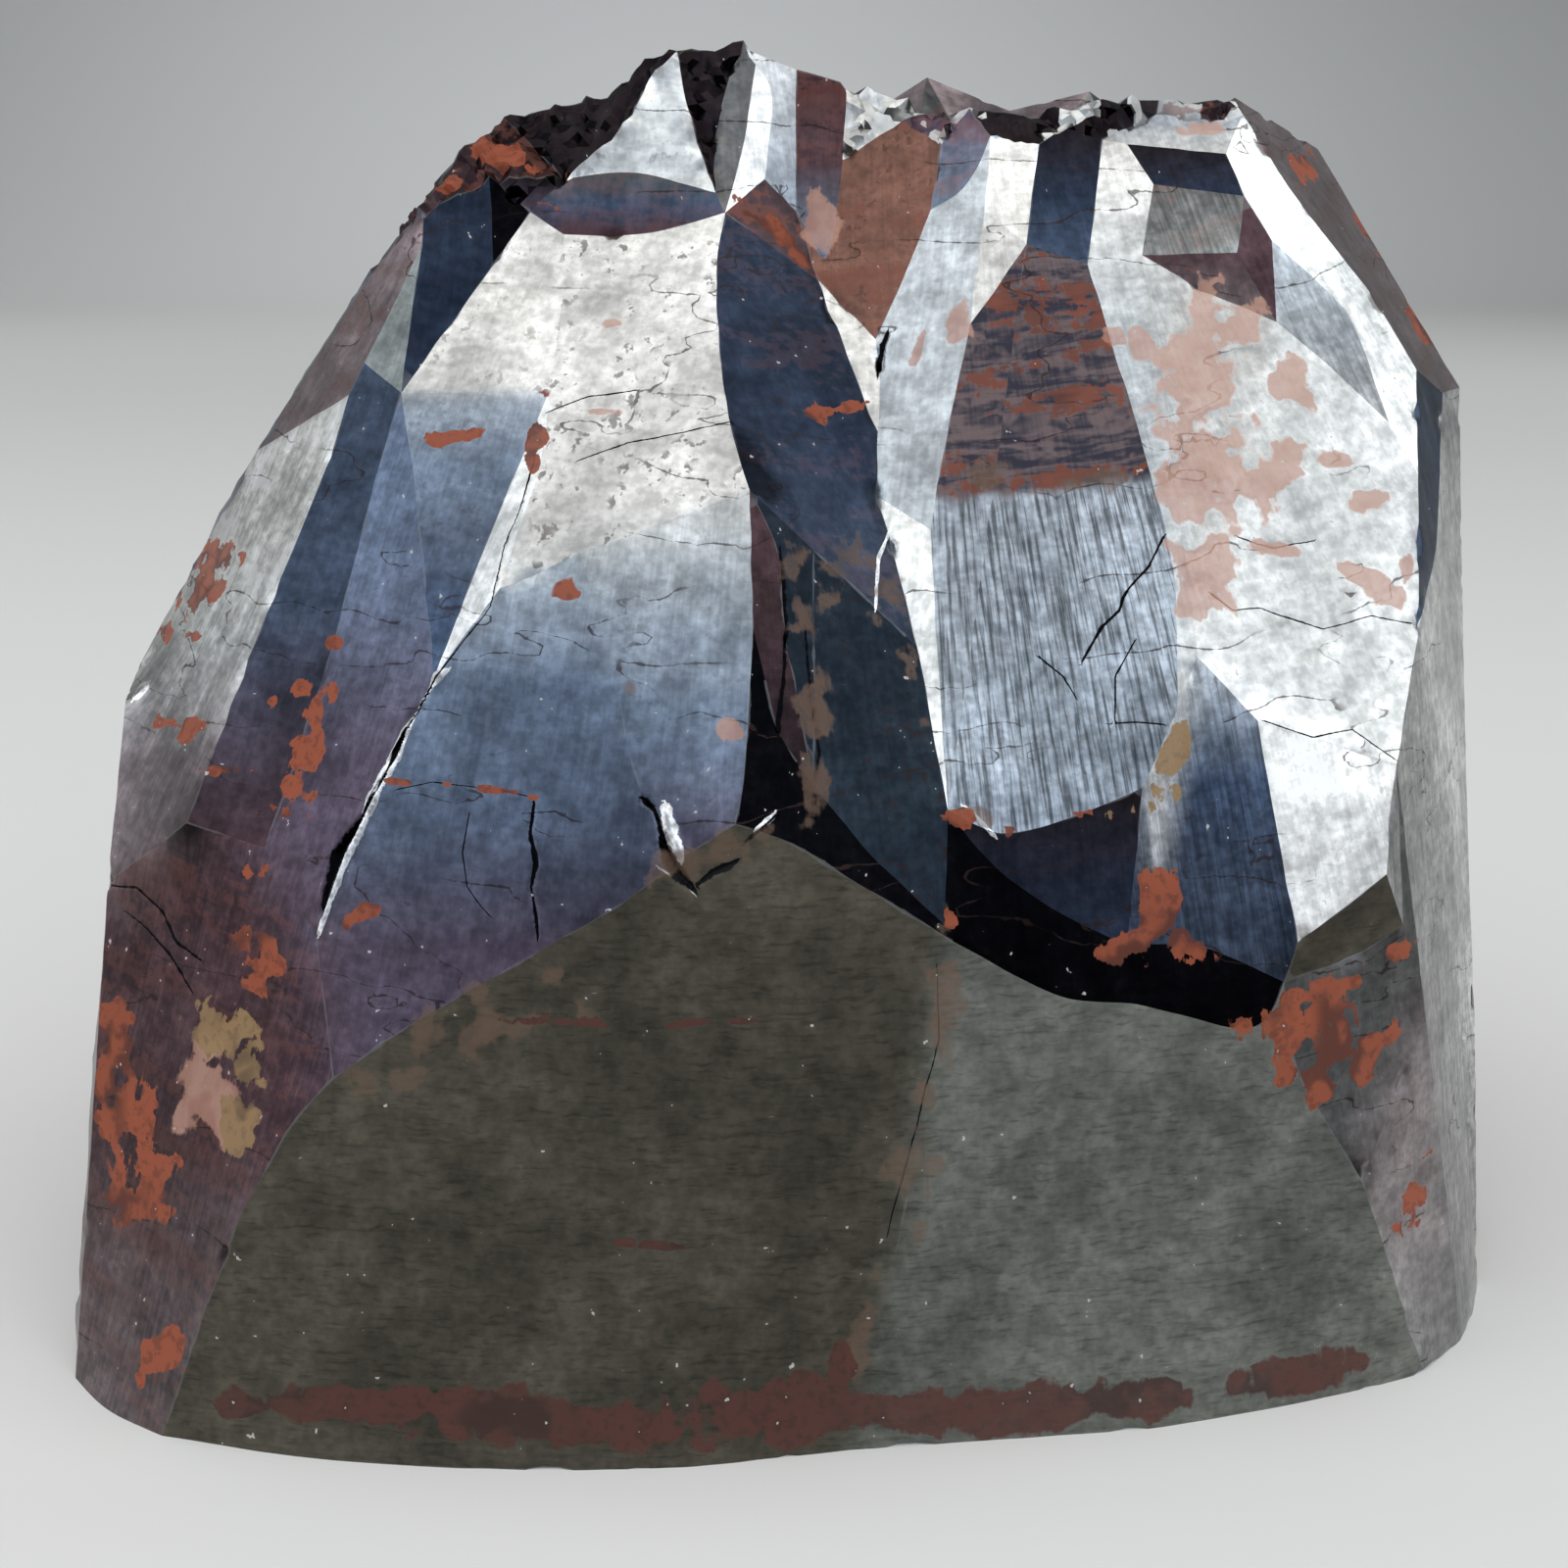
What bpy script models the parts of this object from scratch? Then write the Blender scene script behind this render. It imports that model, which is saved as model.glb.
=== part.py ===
"""Needle ore hematite: one broken fragment of radiating fibrous hematite.

The fragment stands on its wide base and tapers to a jagged top.  Its front was read from
one photograph: each corner has the pixel it is seen at, and each facet a lean and a turn.
The script finds how far each corner lies along its sight line, so that the facets come out
flat.  The sides and the back, which the photograph doesn't show, are set by hand.
"""

import math

import bmesh
import bpy
import numpy as np
from mathutils import Vector

MM = 0.001

# Driving sizes in millimetres
BASE_WIDTH = 62.0

# Sight lines: the eye stands in front of the fragment, in units of its own height
PICTURE_CENTRE = 800.0
FOCAL_PIXELS = 2200.0
PITCH = math.radians(18.0)
EYE_HEIGHT = 56.0

# How strongly a corner keeps to a depth given by hand, against the flatness of its facets
DEPTH_HOLD = 0.15
FLATTENING_ROUNDS = 100

# How strongly a facet keeps to its wanted direction, and how much more a narrow one counts
NORMAL_HOLD = 0.6
NARROW_WIDTH = 25.0
NARROW_POWER = 0.6

# Corners of the front, by the pixel where each is seen
RIM = {
    "rim_a": (77, 1406), "rim_b": (106, 1440), "rim_c": (165, 1465), "rim_d": (300, 1487),
    "rim_e": (430, 1497), "rim_f": (560, 1501), "rim_g": (700, 1498), "rim_h": (865, 1480),
    "rim_i": (1180, 1458), "rim_j": (1300, 1437), "rim_k": (1400, 1416), "rim_l": (1455, 1400),
    "rim_m": (1490, 1368), "rim_n": (1502, 1346), "rim_o": (1507, 1310),
}
CORNERS = {
    # The brow over the olive lower face, left to right
    "olive_low": (240, 1250), "brow_a": (300, 1140), "brow_b": (340, 1100), "brow_c": (420, 1045),
    "brow_d": (560, 965), "brow_e": (640, 920), "brow_f": (700, 872), "brow_g": (750, 842),
    "brow_h": (800, 855), "brow_i": (880, 905), "brow_j": (963, 955), "brow_k": (1090, 1025),
    "brow_l": (1150, 1020), "brow_m": (1290, 1060), "brow_n": (1320, 1090), "brow_o": (1390, 1205),
    "brow_p": (1440, 1360), "olive_fold": (925, 1230), "olive_a": (345, 1265),
    "olive_b": (610, 1260), "olive_c": (1165, 1235), "olive_d": (1290, 1225),
    "maroon_a": (180, 1150),
    # The left outline, upward
    "left_a": (110, 900), "left_b": (128, 715), "left_c": (180, 620), "left_d": (262, 460),
    "left_e": (300, 400), "left_f": (375, 285), "left_g": (410, 250), "left_h": (432, 216),
    "left_i": (455, 178), "left_j": (475, 150), "left_k": (515, 120),
    # The left blades
    "blade_a": (356, 403), "blade_b": (340, 460), "blade_c": (250, 680), "blade_d": (190, 840),
    "stripe_a": (372, 370), "stripe_b": (409, 401), "stripe_c": (380, 500), "stripe_d": (345, 640),
    "stripe_e": (300, 780), "stripe_f": (270, 865), "fin_a": (396, 322), "fin_b": (415, 350),
    "fin_c": (430, 250), "split_a": (322, 955), "split_b": (370, 825), "split_c": (415, 740),
    "split_d": (443, 692), "panel_a": (422, 480), "panel_b": (434, 600), "panel_c": (470, 622),
    "panel_d": (500, 545), "dark_a": (500, 181), "dark_b": (503, 270), "dark_c": (541, 217),
    "shoulder": (575, 182), "glint_a": (575, 239), "glint_b": (577, 288), "glint_c": (560, 400),
    "glint_d": (556, 461),
    # The white front facet and the blue ones under it
    "white_a": (640, 243), "white_b": (690, 233), "white_c": (740, 217), "white_d": (730, 260),
    "white_e": (732, 340), "white_f": (745, 440), "white_g": (765, 500), "white_h": (592, 565),
    "white_i": (510, 600), "blue_a": (625, 680), "blue_b": (650, 810), "blue_c": (768, 640),
    "blue_d": (760, 800), "cleft": (793, 752),
    # The crown
    "crown_a": (640, 130), "crown_b": (648, 90), "crown_c": (662, 80), "crown_d": (685, 76),
    "crown_e": (700, 112), "crown_f": (730, 197), "crown_g": (650, 174), "crest_a": (658, 61),
    "crest_b": (690, 46), "crest_c": (720, 57), "crest_d": (757, 49), "crest_e": (771, 66),
    "crest_f": (792, 77), "crest_g": (812, 71), "crest_h": (838, 77), "crest_i": (864, 86),
    "crest_j": (905, 98), "crest_k": (945, 112), "crest_l": (967, 126), "crest_m": (990, 112),
    "crest_n": (1060, 117), "crest_o": (1088, 132), "crest_p": (1125, 101), "crest_q": (1200, 106),
    "crest_r": (1257, 98), "peak_a": (739, 90), "peak_b": (728, 150), "peak_c": (757, 160),
    "lump_a": (600, 128), "lump_b": (620, 100), "lump_c": (640, 90),
    # The valley in the middle
    "valley_a": (780, 183), "valley_b": (812, 215), "valley_c": (800, 260), "valley_d": (835, 286),
    "valley_e": (895, 440), "valley_f": (895, 506), "valley_g": (875, 530), "valley_h": (830, 561),
    "valley_i": (795, 556), "valley_j": (800, 640), "brown_a": (860, 163), "brown_b": (920, 122),
    "brown_c": (960, 150), "brown_d": (950, 214), "brown_e": (920, 290), "brown_f": (893, 346),
    "brown_g": (845, 280), "brown_h": (899, 395), "film_a": (907, 546), "film_b": (936, 660),
    "film_c": (967, 827), "film_d": (964, 944), "film_e": (890, 875), "film_f": (830, 802),
    # The fan, the big facet right of the middle
    "fan_a": (985, 203), "fan_b": (1004, 214), "fan_c": (990, 330), "fan_d": (965, 450),
    "fan_e": (949, 541), "fan_f": (955, 640), "fan_g": (1020, 856), "fan_h": (1100, 833),
    "fan_i": (1166, 804), "fan_j": (1201, 725), "fan_k": (1222, 670), "fan_l": (1200, 580),
    "fan_m": (1165, 450), "fan_n": (1125, 320), "fan_o": (1110, 270), "fan_p": (1047, 249),
    "fan_q": (1020, 290), "fan_r": (1012, 510), "tooth_a": (1011, 139), "tooth_b": (1060, 147),
    "tooth_c": (1072, 235),
    "apron_a": (1180, 905), "apron_b": (1150, 965), "apron_c": (1075, 930), "apron_d": (1010, 885),
    # The right blades
    "rib_a": (1125, 142), "rib_b": (1150, 147), "rib_c": (1177, 188), "rib_d": (1165, 260),
    "rib_e": (1175, 285), "rib_f": (1195, 460), "rib_g": (1118, 200), "cap_a": (1180, 116),
    "cap_b": (1247, 125), "cap_c": (1251, 157), "cap_d": (1270, 200), "cap_e": (1262, 258),
    "cap_f": (1300, 286), "cap_g": (1298, 245), "pink_a": (1240, 303), "pink_b": (1303, 328),
    "pink_c": (1268, 470), "pale_a": (1370, 385), "pale_b": (1417, 431), "pale_c": (1447, 485),
    "pale_d": (1448, 640), "pale_e": (1425, 780), "pale_f": (1415, 892), "pale_g": (1325, 962),
    "pale_h": (1300, 830), "pale_i": (1283, 735), "strip_a": (1266, 120), "strip_b": (1320, 200),
    "strip_c": (1400, 300), "strip_d": (1445, 377), "strip_e": (1380, 322), "blue_e": (1310, 1002),
    "blue_f": (1225, 962),
    # The right outline, downward, and the faces beside it
    "right_a": (1345, 152), "right_b": (1420, 280), "right_c": (1489, 395), "right_d": (1493, 660),
    "right_e": (1497, 830), "right_f": (1505, 1060), "side_a": (1472, 401), "side_b": (1466, 560),
    "side_c": (1482, 845), "heel_a": (1432, 945), "heel_b": (1455, 1040), "heel_c": (1471, 1120),
    "heel_d": (1485, 1300), "heel_e": (1385, 976),
}

# Facets of the front: lean back from upright and turn to the right, in degrees, and corners
FACETS = {
    # The lower face and its neighbours
    "olive_left": (7, -3, "olive_low olive_a olive_b olive_fold brow_j brow_i brow_h brow_g"
                          " brow_f brow_e brow_d brow_c brow_b brow_a"),
    "olive_left_a": (3, -14, "rim_c rim_d olive_a olive_low"),
    "olive_left_b": (3, -5, "rim_d rim_e rim_f olive_b olive_a"),
    "olive_left_c": (3, 4, "rim_f rim_g rim_h olive_fold olive_b"),
    "olive_right": (6, 11, "olive_fold olive_c olive_d brow_o brow_n brow_m brow_l brow_k"
                           " brow_j"),
    "olive_right_a": (3, 6, "rim_h rim_i olive_c olive_fold"),
    "olive_right_b": (4, 14, "rim_i rim_j olive_d olive_c"),
    "olive_right_c": (4, 20, "rim_j rim_k rim_l brow_p brow_o olive_d"),
    "maroon_foot": (4, -32, "rim_a rim_b rim_c olive_low maroon_a"),
    "maroon_outer": (10, -50, "rim_a maroon_a blade_d left_a"),
    "maroon_face": (14, -28, "maroon_a olive_low brow_a split_a stripe_f blade_d"),
    # The left blades
    "left_blade": (24, -46, "left_a left_b left_c left_d blade_a blade_b blade_c blade_d"),
    "navy_stripe": (22, -14, "blade_a stripe_a stripe_b stripe_c stripe_d stripe_e stripe_f"
                             " blade_d blade_c blade_b"),
    "blue_stripe": (21, -36, "stripe_b panel_a panel_b split_d split_c split_b split_a stripe_f"
                             " stripe_e stripe_d stripe_c"),
    "far_left": (30, -62, "left_d left_e left_f left_g left_h fin_c fin_a stripe_a blade_a"),
    "green_fin": (28, -30, "fin_c fin_b stripe_b stripe_a fin_a"),
    "dark_blade": (25, 8, "left_h dark_a dark_b stripe_b fin_b fin_c"),
    "dark_notch": (10, 30, "dark_a dark_c dark_b"),
    "orange_shoulder": (38, -14, "left_h left_i left_j left_k shoulder dark_a"),
    "purple_bit": (18, 8, "dark_a shoulder glint_a dark_c"),
    "glint_face": (40, -20, "dark_c glint_a glint_b glint_c stripe_b dark_b"),
    "sky_panel": (30, -22, "stripe_b glint_c glint_d panel_d panel_c split_d panel_b panel_a"),
    "pale_sliver": (36, -40, "glint_d white_i panel_c panel_d"),
    "blue_apron": (22, -14, "brow_a split_a split_b split_c split_d panel_c white_i white_h"
                            " blue_a blue_b brow_f brow_e brow_d brow_c brow_b"),
    # The white front facet, the crown and the peaks
    "white_face": (38, -4, "glint_a white_a white_b white_c white_d white_e white_f white_g"
                           " white_h white_i glint_d glint_c glint_b"),
    "blue_face": (26, -2, "white_h white_g blue_c blue_d brow_g brow_f blue_b blue_a"),
    "crown_face": (36, -8, "shoulder crown_a crown_b crown_c crown_d crown_e crown_f crown_g"),
    "crown_band": (12, -4, "shoulder crown_g crown_f white_c white_b white_a glint_a"),
    "crown_lump": (20, -50, "shoulder lump_a lump_b lump_c crown_b crown_a"),
    "peak_left": (5, -20, "crown_b crest_a crest_b crown_d crown_c"),
    "peak_dark": (10, 12, "crest_b crest_c crest_d crest_e peak_a peak_b crown_f crown_e crown_d"),
    "peak_grey": (25, 18, "peak_a crest_e peak_c valley_a white_c crown_f peak_b"),
    "peak_white": (35, -6, "crest_e crest_f valley_a peak_c"),
    "peak_strip": (28, 14, "crest_f crest_g valley_b valley_a"),
    "peak_purple": (14, -12, "crest_g crest_h crest_i brown_a valley_b"),
    # The valley
    "red_strip": (30, 40, "white_c valley_a valley_b valley_d valley_c"),
    "navy_face": (30, 46, "white_c valley_c valley_d valley_e valley_f valley_g valley_h"
                          " valley_i white_g white_f white_e white_d"),
    "cream_sliver": (40, -6, "valley_b brown_g brown_f brown_h valley_e valley_d"),
    "brown_face": (20, 4, "brown_a brown_b brown_c brown_d brown_e brown_f brown_g valley_b"),
    "brown_top": (40, 6, "crest_i crest_j crest_k brown_b brown_a"),
    "notch_face": (10, -10, "brown_b crest_k crest_l brown_c"),
    "seam_strip": (20, 34, "white_g valley_i valley_j cleft blue_d blue_c"),
    "film_side": (24, 26, "valley_i valley_h film_f cleft valley_j"),
    "film_face": (26, 8, "valley_h valley_g valley_f film_a film_b film_c film_d film_e film_f"),
    "pale_blade": (33, -34, "brown_d fan_a fan_b fan_c fan_d fan_e valley_e brown_h brown_f"
                            " brown_e"),
    "long_sliver": (30, -44, "valley_e fan_e fan_f film_c film_b film_a valley_f"),
    "black_ledge": (8, 22, "blue_d cleft film_f film_e film_d brow_j brow_i brow_h brow_g"),
    # The fan and what hangs round it
    "fan_left": (31, -6, "fan_p fan_r film_c fan_f fan_e fan_d fan_c fan_q"),
    "fan_face": (30, 8, "fan_p fan_o fan_n fan_m fan_l fan_k fan_j fan_i fan_h fan_g film_c"
                        " fan_r"),
    "fan_streaks": (34, -20, "fan_b fan_p fan_q fan_c"),
    "tooth_left": (26, -16, "brown_c crest_l crest_m tooth_a fan_b fan_a brown_d"),
    "tooth_face": (38, -6, "tooth_a tooth_b tooth_c fan_p fan_b"),
    "tooth_top": (20, 0, "crest_m crest_n crest_o tooth_b tooth_a"),
    "tooth_right": (18, 20, "tooth_b crest_o rib_a rib_g fan_o fan_p tooth_c"),
    "gap_top": (10, 0, "crest_o crest_p rib_a"),
    "apron_face": (14, 6, "film_c fan_g fan_h fan_i apron_a apron_b apron_c apron_d"),
    "right_ledge": (8, 14, "film_c apron_d apron_c apron_b blue_f blue_e brow_m brow_l brow_k"
                           " brow_j film_d"),
    # The right blades
    "white_rib": (34, -14, "rib_a rib_b rib_c rib_d rib_e rib_f fan_k fan_l fan_m fan_n fan_o"
                           " rib_g"),
    "cap_face": (34, 6, "rib_c cap_d cap_e rib_d"),
    "cap_black": (14, 10, "rib_b cap_c cap_d rib_c"),
    "cap_pink": (34, 4, "rib_a cap_a cap_b cap_c rib_b"),
    "cap_top": (24, 8, "crest_p crest_q crest_r strip_a cap_b cap_a rib_a"),
    "band_face": (26, 12, "rib_d cap_e cap_f pink_b pink_a rib_e"),
    "cap_maroon": (22, 26, "cap_d cap_g cap_f cap_e"),
    "pink_face": (36, 10, "rib_e pink_a pink_b pink_c fan_k rib_f"),
    "pale_face": (38, 22, "pink_b pale_a pale_b pale_c pale_d pale_e pale_i fan_k pink_c"),
    "cream_face": (32, 18, "pale_i pale_e pale_f pale_g pale_h"),
    "strip_inner": (26, 28, "cap_g strip_e pale_b pale_a pink_b cap_f"),
    "strip_outer": (36, 42, "cap_b strip_a strip_b strip_c strip_d pale_c pale_b strip_e cap_g"
                            " cap_d cap_c"),
    "fibre_strip": (26, -22, "fan_k fan_j fan_i apron_a"),
    "fibre_face": (20, 12, "fan_k pale_i pale_h pale_g blue_e blue_f apron_b apron_a"),
    "far_right": (28, 66, "strip_a crest_r right_a right_b right_c side_a strip_d strip_c"
                          " strip_b"),
    "navy_side": (16, 58, "strip_d side_a side_b pale_d pale_c"),
    "grey_side": (8, 70, "side_a right_c right_d right_e right_f side_c pale_d side_b"),
    "grey_heel": (6, 52, "pale_d side_c right_f rim_o rim_n rim_m heel_d heel_c heel_b heel_a"
                         " pale_f pale_e"),
    "olive_heel": (6, 24, "blue_e pale_g pale_f heel_a heel_e"),
    "dark_heel": (8, 26, "blue_e heel_e heel_a heel_b brow_o brow_n brow_m"),
    "corner_heel": (6, 38, "brow_o heel_b heel_c heel_d rim_m rim_l brow_p"),
}

# Distance from the eye, level with the floor, of the corners that hold the solution in place
DEPTHS = {
    "left_b": 92, "left_d": 101, "left_k": 108, "lump_b": 106, "crest_a": 104, "crest_d": 105,
    "crest_g": 107, "crest_j": 109, "crest_m": 108, "crest_p": 109, "crest_r": 111,
    "right_c": 104, "right_a": 112, "right_e": 96, "brow_g": 80.5, "cleft": 84, "film_c": 84.5,
}

# Corners of the back: right, away from the eye and up, in the same units as the eye height
BACK = {
    "foot_a": (-34.0, 92.0, 0), "foot_b": (-33.5, 100.0, 0), "foot_c": (-30.0, 109.0, 0),
    "foot_d": (-24.5, 116.0, 0), "foot_e": (-16.0, 121.0, 0), "foot_f": (-5.0, 124.0, 0),
    "foot_g": (7.0, 125.0, 0), "foot_h": (18.0, 124.0, 0), "foot_i": (27.0, 120.0, 0),
    "foot_j": (33.5, 113.0, 0), "foot_k": (36.0, 103.0, 0),
    "wall_a": (-31.5, 102.0, 29), "wall_b": (-28.0, 109.5, 36), "wall_c": (-20.5, 112.5, 28),
    "wall_d": (-15.5, 118.5, 38), "wall_e": (-6.0, 119.0, 31), "wall_f": (2.0, 123.0, 40),
    "wall_g": (9.5, 121.0, 30), "wall_h": (16.5, 122.5, 42), "wall_i": (23.0, 118.0, 33),
    "wall_j": (29.5, 115.5, 41), "wall_k": (33.5, 107.0, 36),
    "ridge_a": (-19.5, 112.0, 48.5), "ridge_b": (-11.0, 118.0, 54.3),
    "ridge_c": (-3.0, 117.5, 50.5), "ridge_d": (3.0, 119.5, 53.5),
    "ridge_e": (7.5, 119.0, 56.3), "ridge_f": (12.0, 120.5, 54.6),
    "ridge_g": (16.0, 118.5, 55.6), "ridge_h": (22.5, 117.0, 51.0),
    "dip_a": (-9.5, 109.0, 51.0), "dip_b": (-2.0, 112.0, 49.5), "dip_c": (6.0, 112.0, 51.5),
    "dip_d": (11.0, 114.5, 50.0), "dip_e": (17.5, 112.5, 51.5),
}

# Facets of the base, the sides, the back and the top, by their corners
BACK_FACETS = {
    "base": "rim_a rim_b rim_c rim_d rim_e rim_f rim_g rim_h rim_i rim_j rim_k rim_l rim_m rim_n"
            " rim_o foot_k foot_j foot_i foot_h foot_g foot_f foot_e foot_d foot_c foot_b foot_a",
    "left_foot": "rim_a left_a left_b wall_a foot_b foot_a",
    "left_flank": "left_b left_c left_d left_e wall_b wall_a",
    "left_back": "left_e left_f left_g left_h ridge_a wall_b",
    "right_foot": "right_c right_d right_e right_f rim_o foot_k wall_k",
    "right_flank": "right_b right_c wall_k",
    "right_back": "right_a right_b wall_k wall_j",
    "right_top": "crest_r right_a wall_j ridge_h",
    # The lower blades of the back
    "back_a": "foot_b foot_c wall_b wall_a", "back_b": "foot_c foot_d wall_c wall_b",
    "back_c": "foot_d foot_e wall_d wall_c", "back_d": "foot_e foot_f wall_e wall_d",
    "back_e": "foot_f foot_g wall_f wall_e", "back_f": "foot_g wall_g wall_f",
    "back_g": "foot_g foot_h wall_h wall_g", "back_h": "foot_h foot_i wall_i wall_h",
    "back_i": "foot_i foot_j wall_j wall_i", "back_j": "foot_j foot_k wall_k wall_j",
    # The upper blades of the back
    "back_k": "wall_b ridge_a wall_c", "back_l": "wall_c ridge_a wall_d",
    "back_m": "wall_d ridge_a ridge_b", "back_n": "wall_d ridge_b wall_e",
    "back_o": "wall_e ridge_b ridge_c", "back_p": "wall_e ridge_c wall_f",
    "back_q": "wall_f ridge_c ridge_d", "back_r": "wall_f ridge_d wall_g",
    "back_s": "wall_g ridge_d ridge_e ridge_f", "back_t": "wall_g ridge_f wall_h",
    "back_u": "wall_h ridge_f ridge_g", "back_v": "wall_h ridge_g wall_i",
    "back_w": "wall_i ridge_g ridge_h", "back_x": "wall_i ridge_h wall_j",
    # The rough top between the front crest and the back ridge
    "top_a": "left_h left_i left_j left_k ridge_a",
    "top_b": "left_k shoulder lump_a lump_b dip_a ridge_b ridge_a",
    "top_c": "lump_b lump_c crown_b crest_a dip_a",
    "top_d": "crest_a crest_b crest_c crest_d dip_b dip_a",
    "top_e": "crest_d crest_e crest_f crest_g dip_b",
    "top_f": "crest_g crest_h crest_i crest_j dip_c dip_b",
    "top_g": "crest_j crest_k crest_l crest_m dip_d dip_c",
    "top_h": "crest_m crest_n crest_o crest_p dip_e dip_d",
    "top_i": "crest_p crest_q crest_r ridge_h dip_e",
    "top_j": "dip_a dip_b ridge_c ridge_b", "top_k": "dip_b dip_c ridge_d ridge_c",
    "top_l": "dip_c dip_d ridge_e ridge_d", "top_m": "dip_d ridge_f ridge_e",
    "top_n": "dip_d dip_e ridge_g ridge_f", "top_o": "dip_e ridge_h ridge_g",
}


def clear_scene():
    """Remove the objects that the scene opens with."""
    for thing in list(bpy.data.objects):
        bpy.data.objects.remove(thing, do_unlink=True)


def sight_line(pixel):
    """Direction from the eye through a pixel: right, away and up."""
    across = (pixel[0] - PICTURE_CENTRE) / FOCAL_PIXELS
    above = (PICTURE_CENTRE - pixel[1]) / FOCAL_PIXELS
    away = math.cos(PITCH) + above * math.sin(PITCH)
    rise = above * math.cos(PITCH) - math.sin(PITCH)
    return np.array((across, away, rise))


def facet_normal(lean, turn):
    """Outward direction of a facet from its lean back and its turn to the right."""
    lean = math.radians(lean)
    turn = math.radians(turn)
    level = math.cos(lean)
    return np.array((math.sin(turn) * level, -math.cos(turn) * level, math.sin(lean)))


def fitted_normal(points, wanted):
    """Direction across the plane that fits the points best, on the wanted side."""
    spread = points - points.mean(axis=0)
    normal = np.linalg.svd(spread)[2][-1]
    return normal if normal @ wanted > 0 else -normal


def facet_hold(corners):
    """Weight of a facet in the solution: a narrow one counts for more, so it keeps its turn."""
    pixels = [RIM.get(corner) or CORNERS[corner] for corner in corners]
    area = 0.0
    outline = 0.0
    for one, two in zip(pixels, pixels[1:] + pixels[:1]):
        area += 0.5 * (one[0] * two[1] - two[0] * one[1])
        outline += math.dist(one, two)
    return (outline * NARROW_WIDTH / abs(area)) ** NARROW_POWER


def solve_front():
    """Place every front corner on its sight line so that each facet comes out flat."""
    eye = np.array((0.0, 0.0, EYE_HEIGHT))
    placed = {}
    for name, pixel in RIM.items():
        line = sight_line(pixel)
        placed[name] = eye - line * EYE_HEIGHT / line[2]
    lines = {name: sight_line(pixel) for name, pixel in CORNERS.items()}
    column = {name: index for index, name in enumerate(lines)}
    facets = {name: facet[2].split() for name, facet in FACETS.items()}
    wanted = {name: facet_normal(facet[0], facet[1]) for name, facet in FACETS.items()}
    normals = dict(wanted)
    width = len(column) + len(facets)
    for step in range(FLATTENING_ROUNDS):
        rows = []
        values = []
        for number, (name, corners) in enumerate(facets.items()):
            hold = facet_hold(corners)
            for corner in corners:
                row = np.zeros(width)
                row[len(column) + number] = -hold
                if corner in column:
                    row[column[corner]] = normals[name] @ lines[corner] * hold
                    values.append(-normals[name] @ eye * hold)
                else:
                    values.append(-normals[name] @ placed[corner] * hold)
                rows.append(row)
        for corner, depth in DEPTHS.items():
            row = np.zeros(width)
            row[column[corner]] = DEPTH_HOLD * lines[corner][1]
            rows.append(row)
            values.append(DEPTH_HOLD * depth)
        solution = np.linalg.lstsq(np.array(rows), np.array(values), rcond=None)[0]
        for corner, index in column.items():
            placed[corner] = eye + solution[index] * lines[corner]
        share = NORMAL_HOLD * min(1.0, 4.0 * (1.0 - step / FLATTENING_ROUNDS))
        for name, corners in facets.items():
            fitted = fitted_normal(np.array([placed[corner] for corner in corners]), wanted[name])
            mixed = share * wanted[name] + (1.0 - share) * fitted
            normals[name] = mixed / np.linalg.norm(mixed)
    return placed


def build_fragment():
    """Join the facets of the front, the sides, the top and the back into one closed solid."""
    places = solve_front()
    places.update({name: np.array(place) for name, place in BACK.items()})
    low = np.min(list(places.values()), axis=0)
    high = np.max(list(places.values()), axis=0)
    middle = np.array(((low[0] + high[0]) / 2, (low[1] + high[1]) / 2, low[2]))
    scale = BASE_WIDTH / (high[0] - low[0]) * MM
    body = bmesh.new()
    corners = {name: body.verts.new(Vector((place - middle) * scale))
               for name, place in places.items()}
    outlines = [facet[2] for facet in FACETS.values()] + list(BACK_FACETS.values())
    for outline in outlines:
        body.faces.new([corners[name] for name in outline.split()])
    bmesh.ops.triangulate(body, faces=body.faces[:], quad_method="BEAUTY", ngon_method="BEAUTY")
    bmesh.ops.recalc_face_normals(body, faces=body.faces[:])
    mesh = bpy.data.meshes.new("needle_ore")
    body.to_mesh(mesh)
    body.free()
    fragment = bpy.data.objects.new("needle_ore", mesh)
    bpy.context.scene.collection.objects.link(fragment)
    return fragment


def hematite_material():
    """Lustrous steel-grey hematite."""
    material = bpy.data.materials.new("hematite")
    material.use_nodes = True
    shader = material.node_tree.nodes["Principled BSDF"]
    shader.inputs["Base Color"].default_value = (0.16, 0.17, 0.19, 1.0)
    shader.inputs["Metallic"].default_value = 0.9
    shader.inputs["Roughness"].default_value = 0.25
    return material


clear_scene()
needle_ore = build_fragment()
needle_ore.data.materials.append(hematite_material())
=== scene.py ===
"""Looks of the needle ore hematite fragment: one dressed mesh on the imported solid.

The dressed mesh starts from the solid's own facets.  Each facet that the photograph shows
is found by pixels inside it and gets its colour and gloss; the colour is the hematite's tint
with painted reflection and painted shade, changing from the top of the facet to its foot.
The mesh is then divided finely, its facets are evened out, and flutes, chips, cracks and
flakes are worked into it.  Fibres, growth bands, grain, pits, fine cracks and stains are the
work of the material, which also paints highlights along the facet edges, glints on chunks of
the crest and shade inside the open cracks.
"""

import heapq
import math
from types import SimpleNamespace

import bmesh
import bpy
import numpy as np
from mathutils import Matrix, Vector, kdtree, noise
from mathutils.bvhtree import BVHTree


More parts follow.
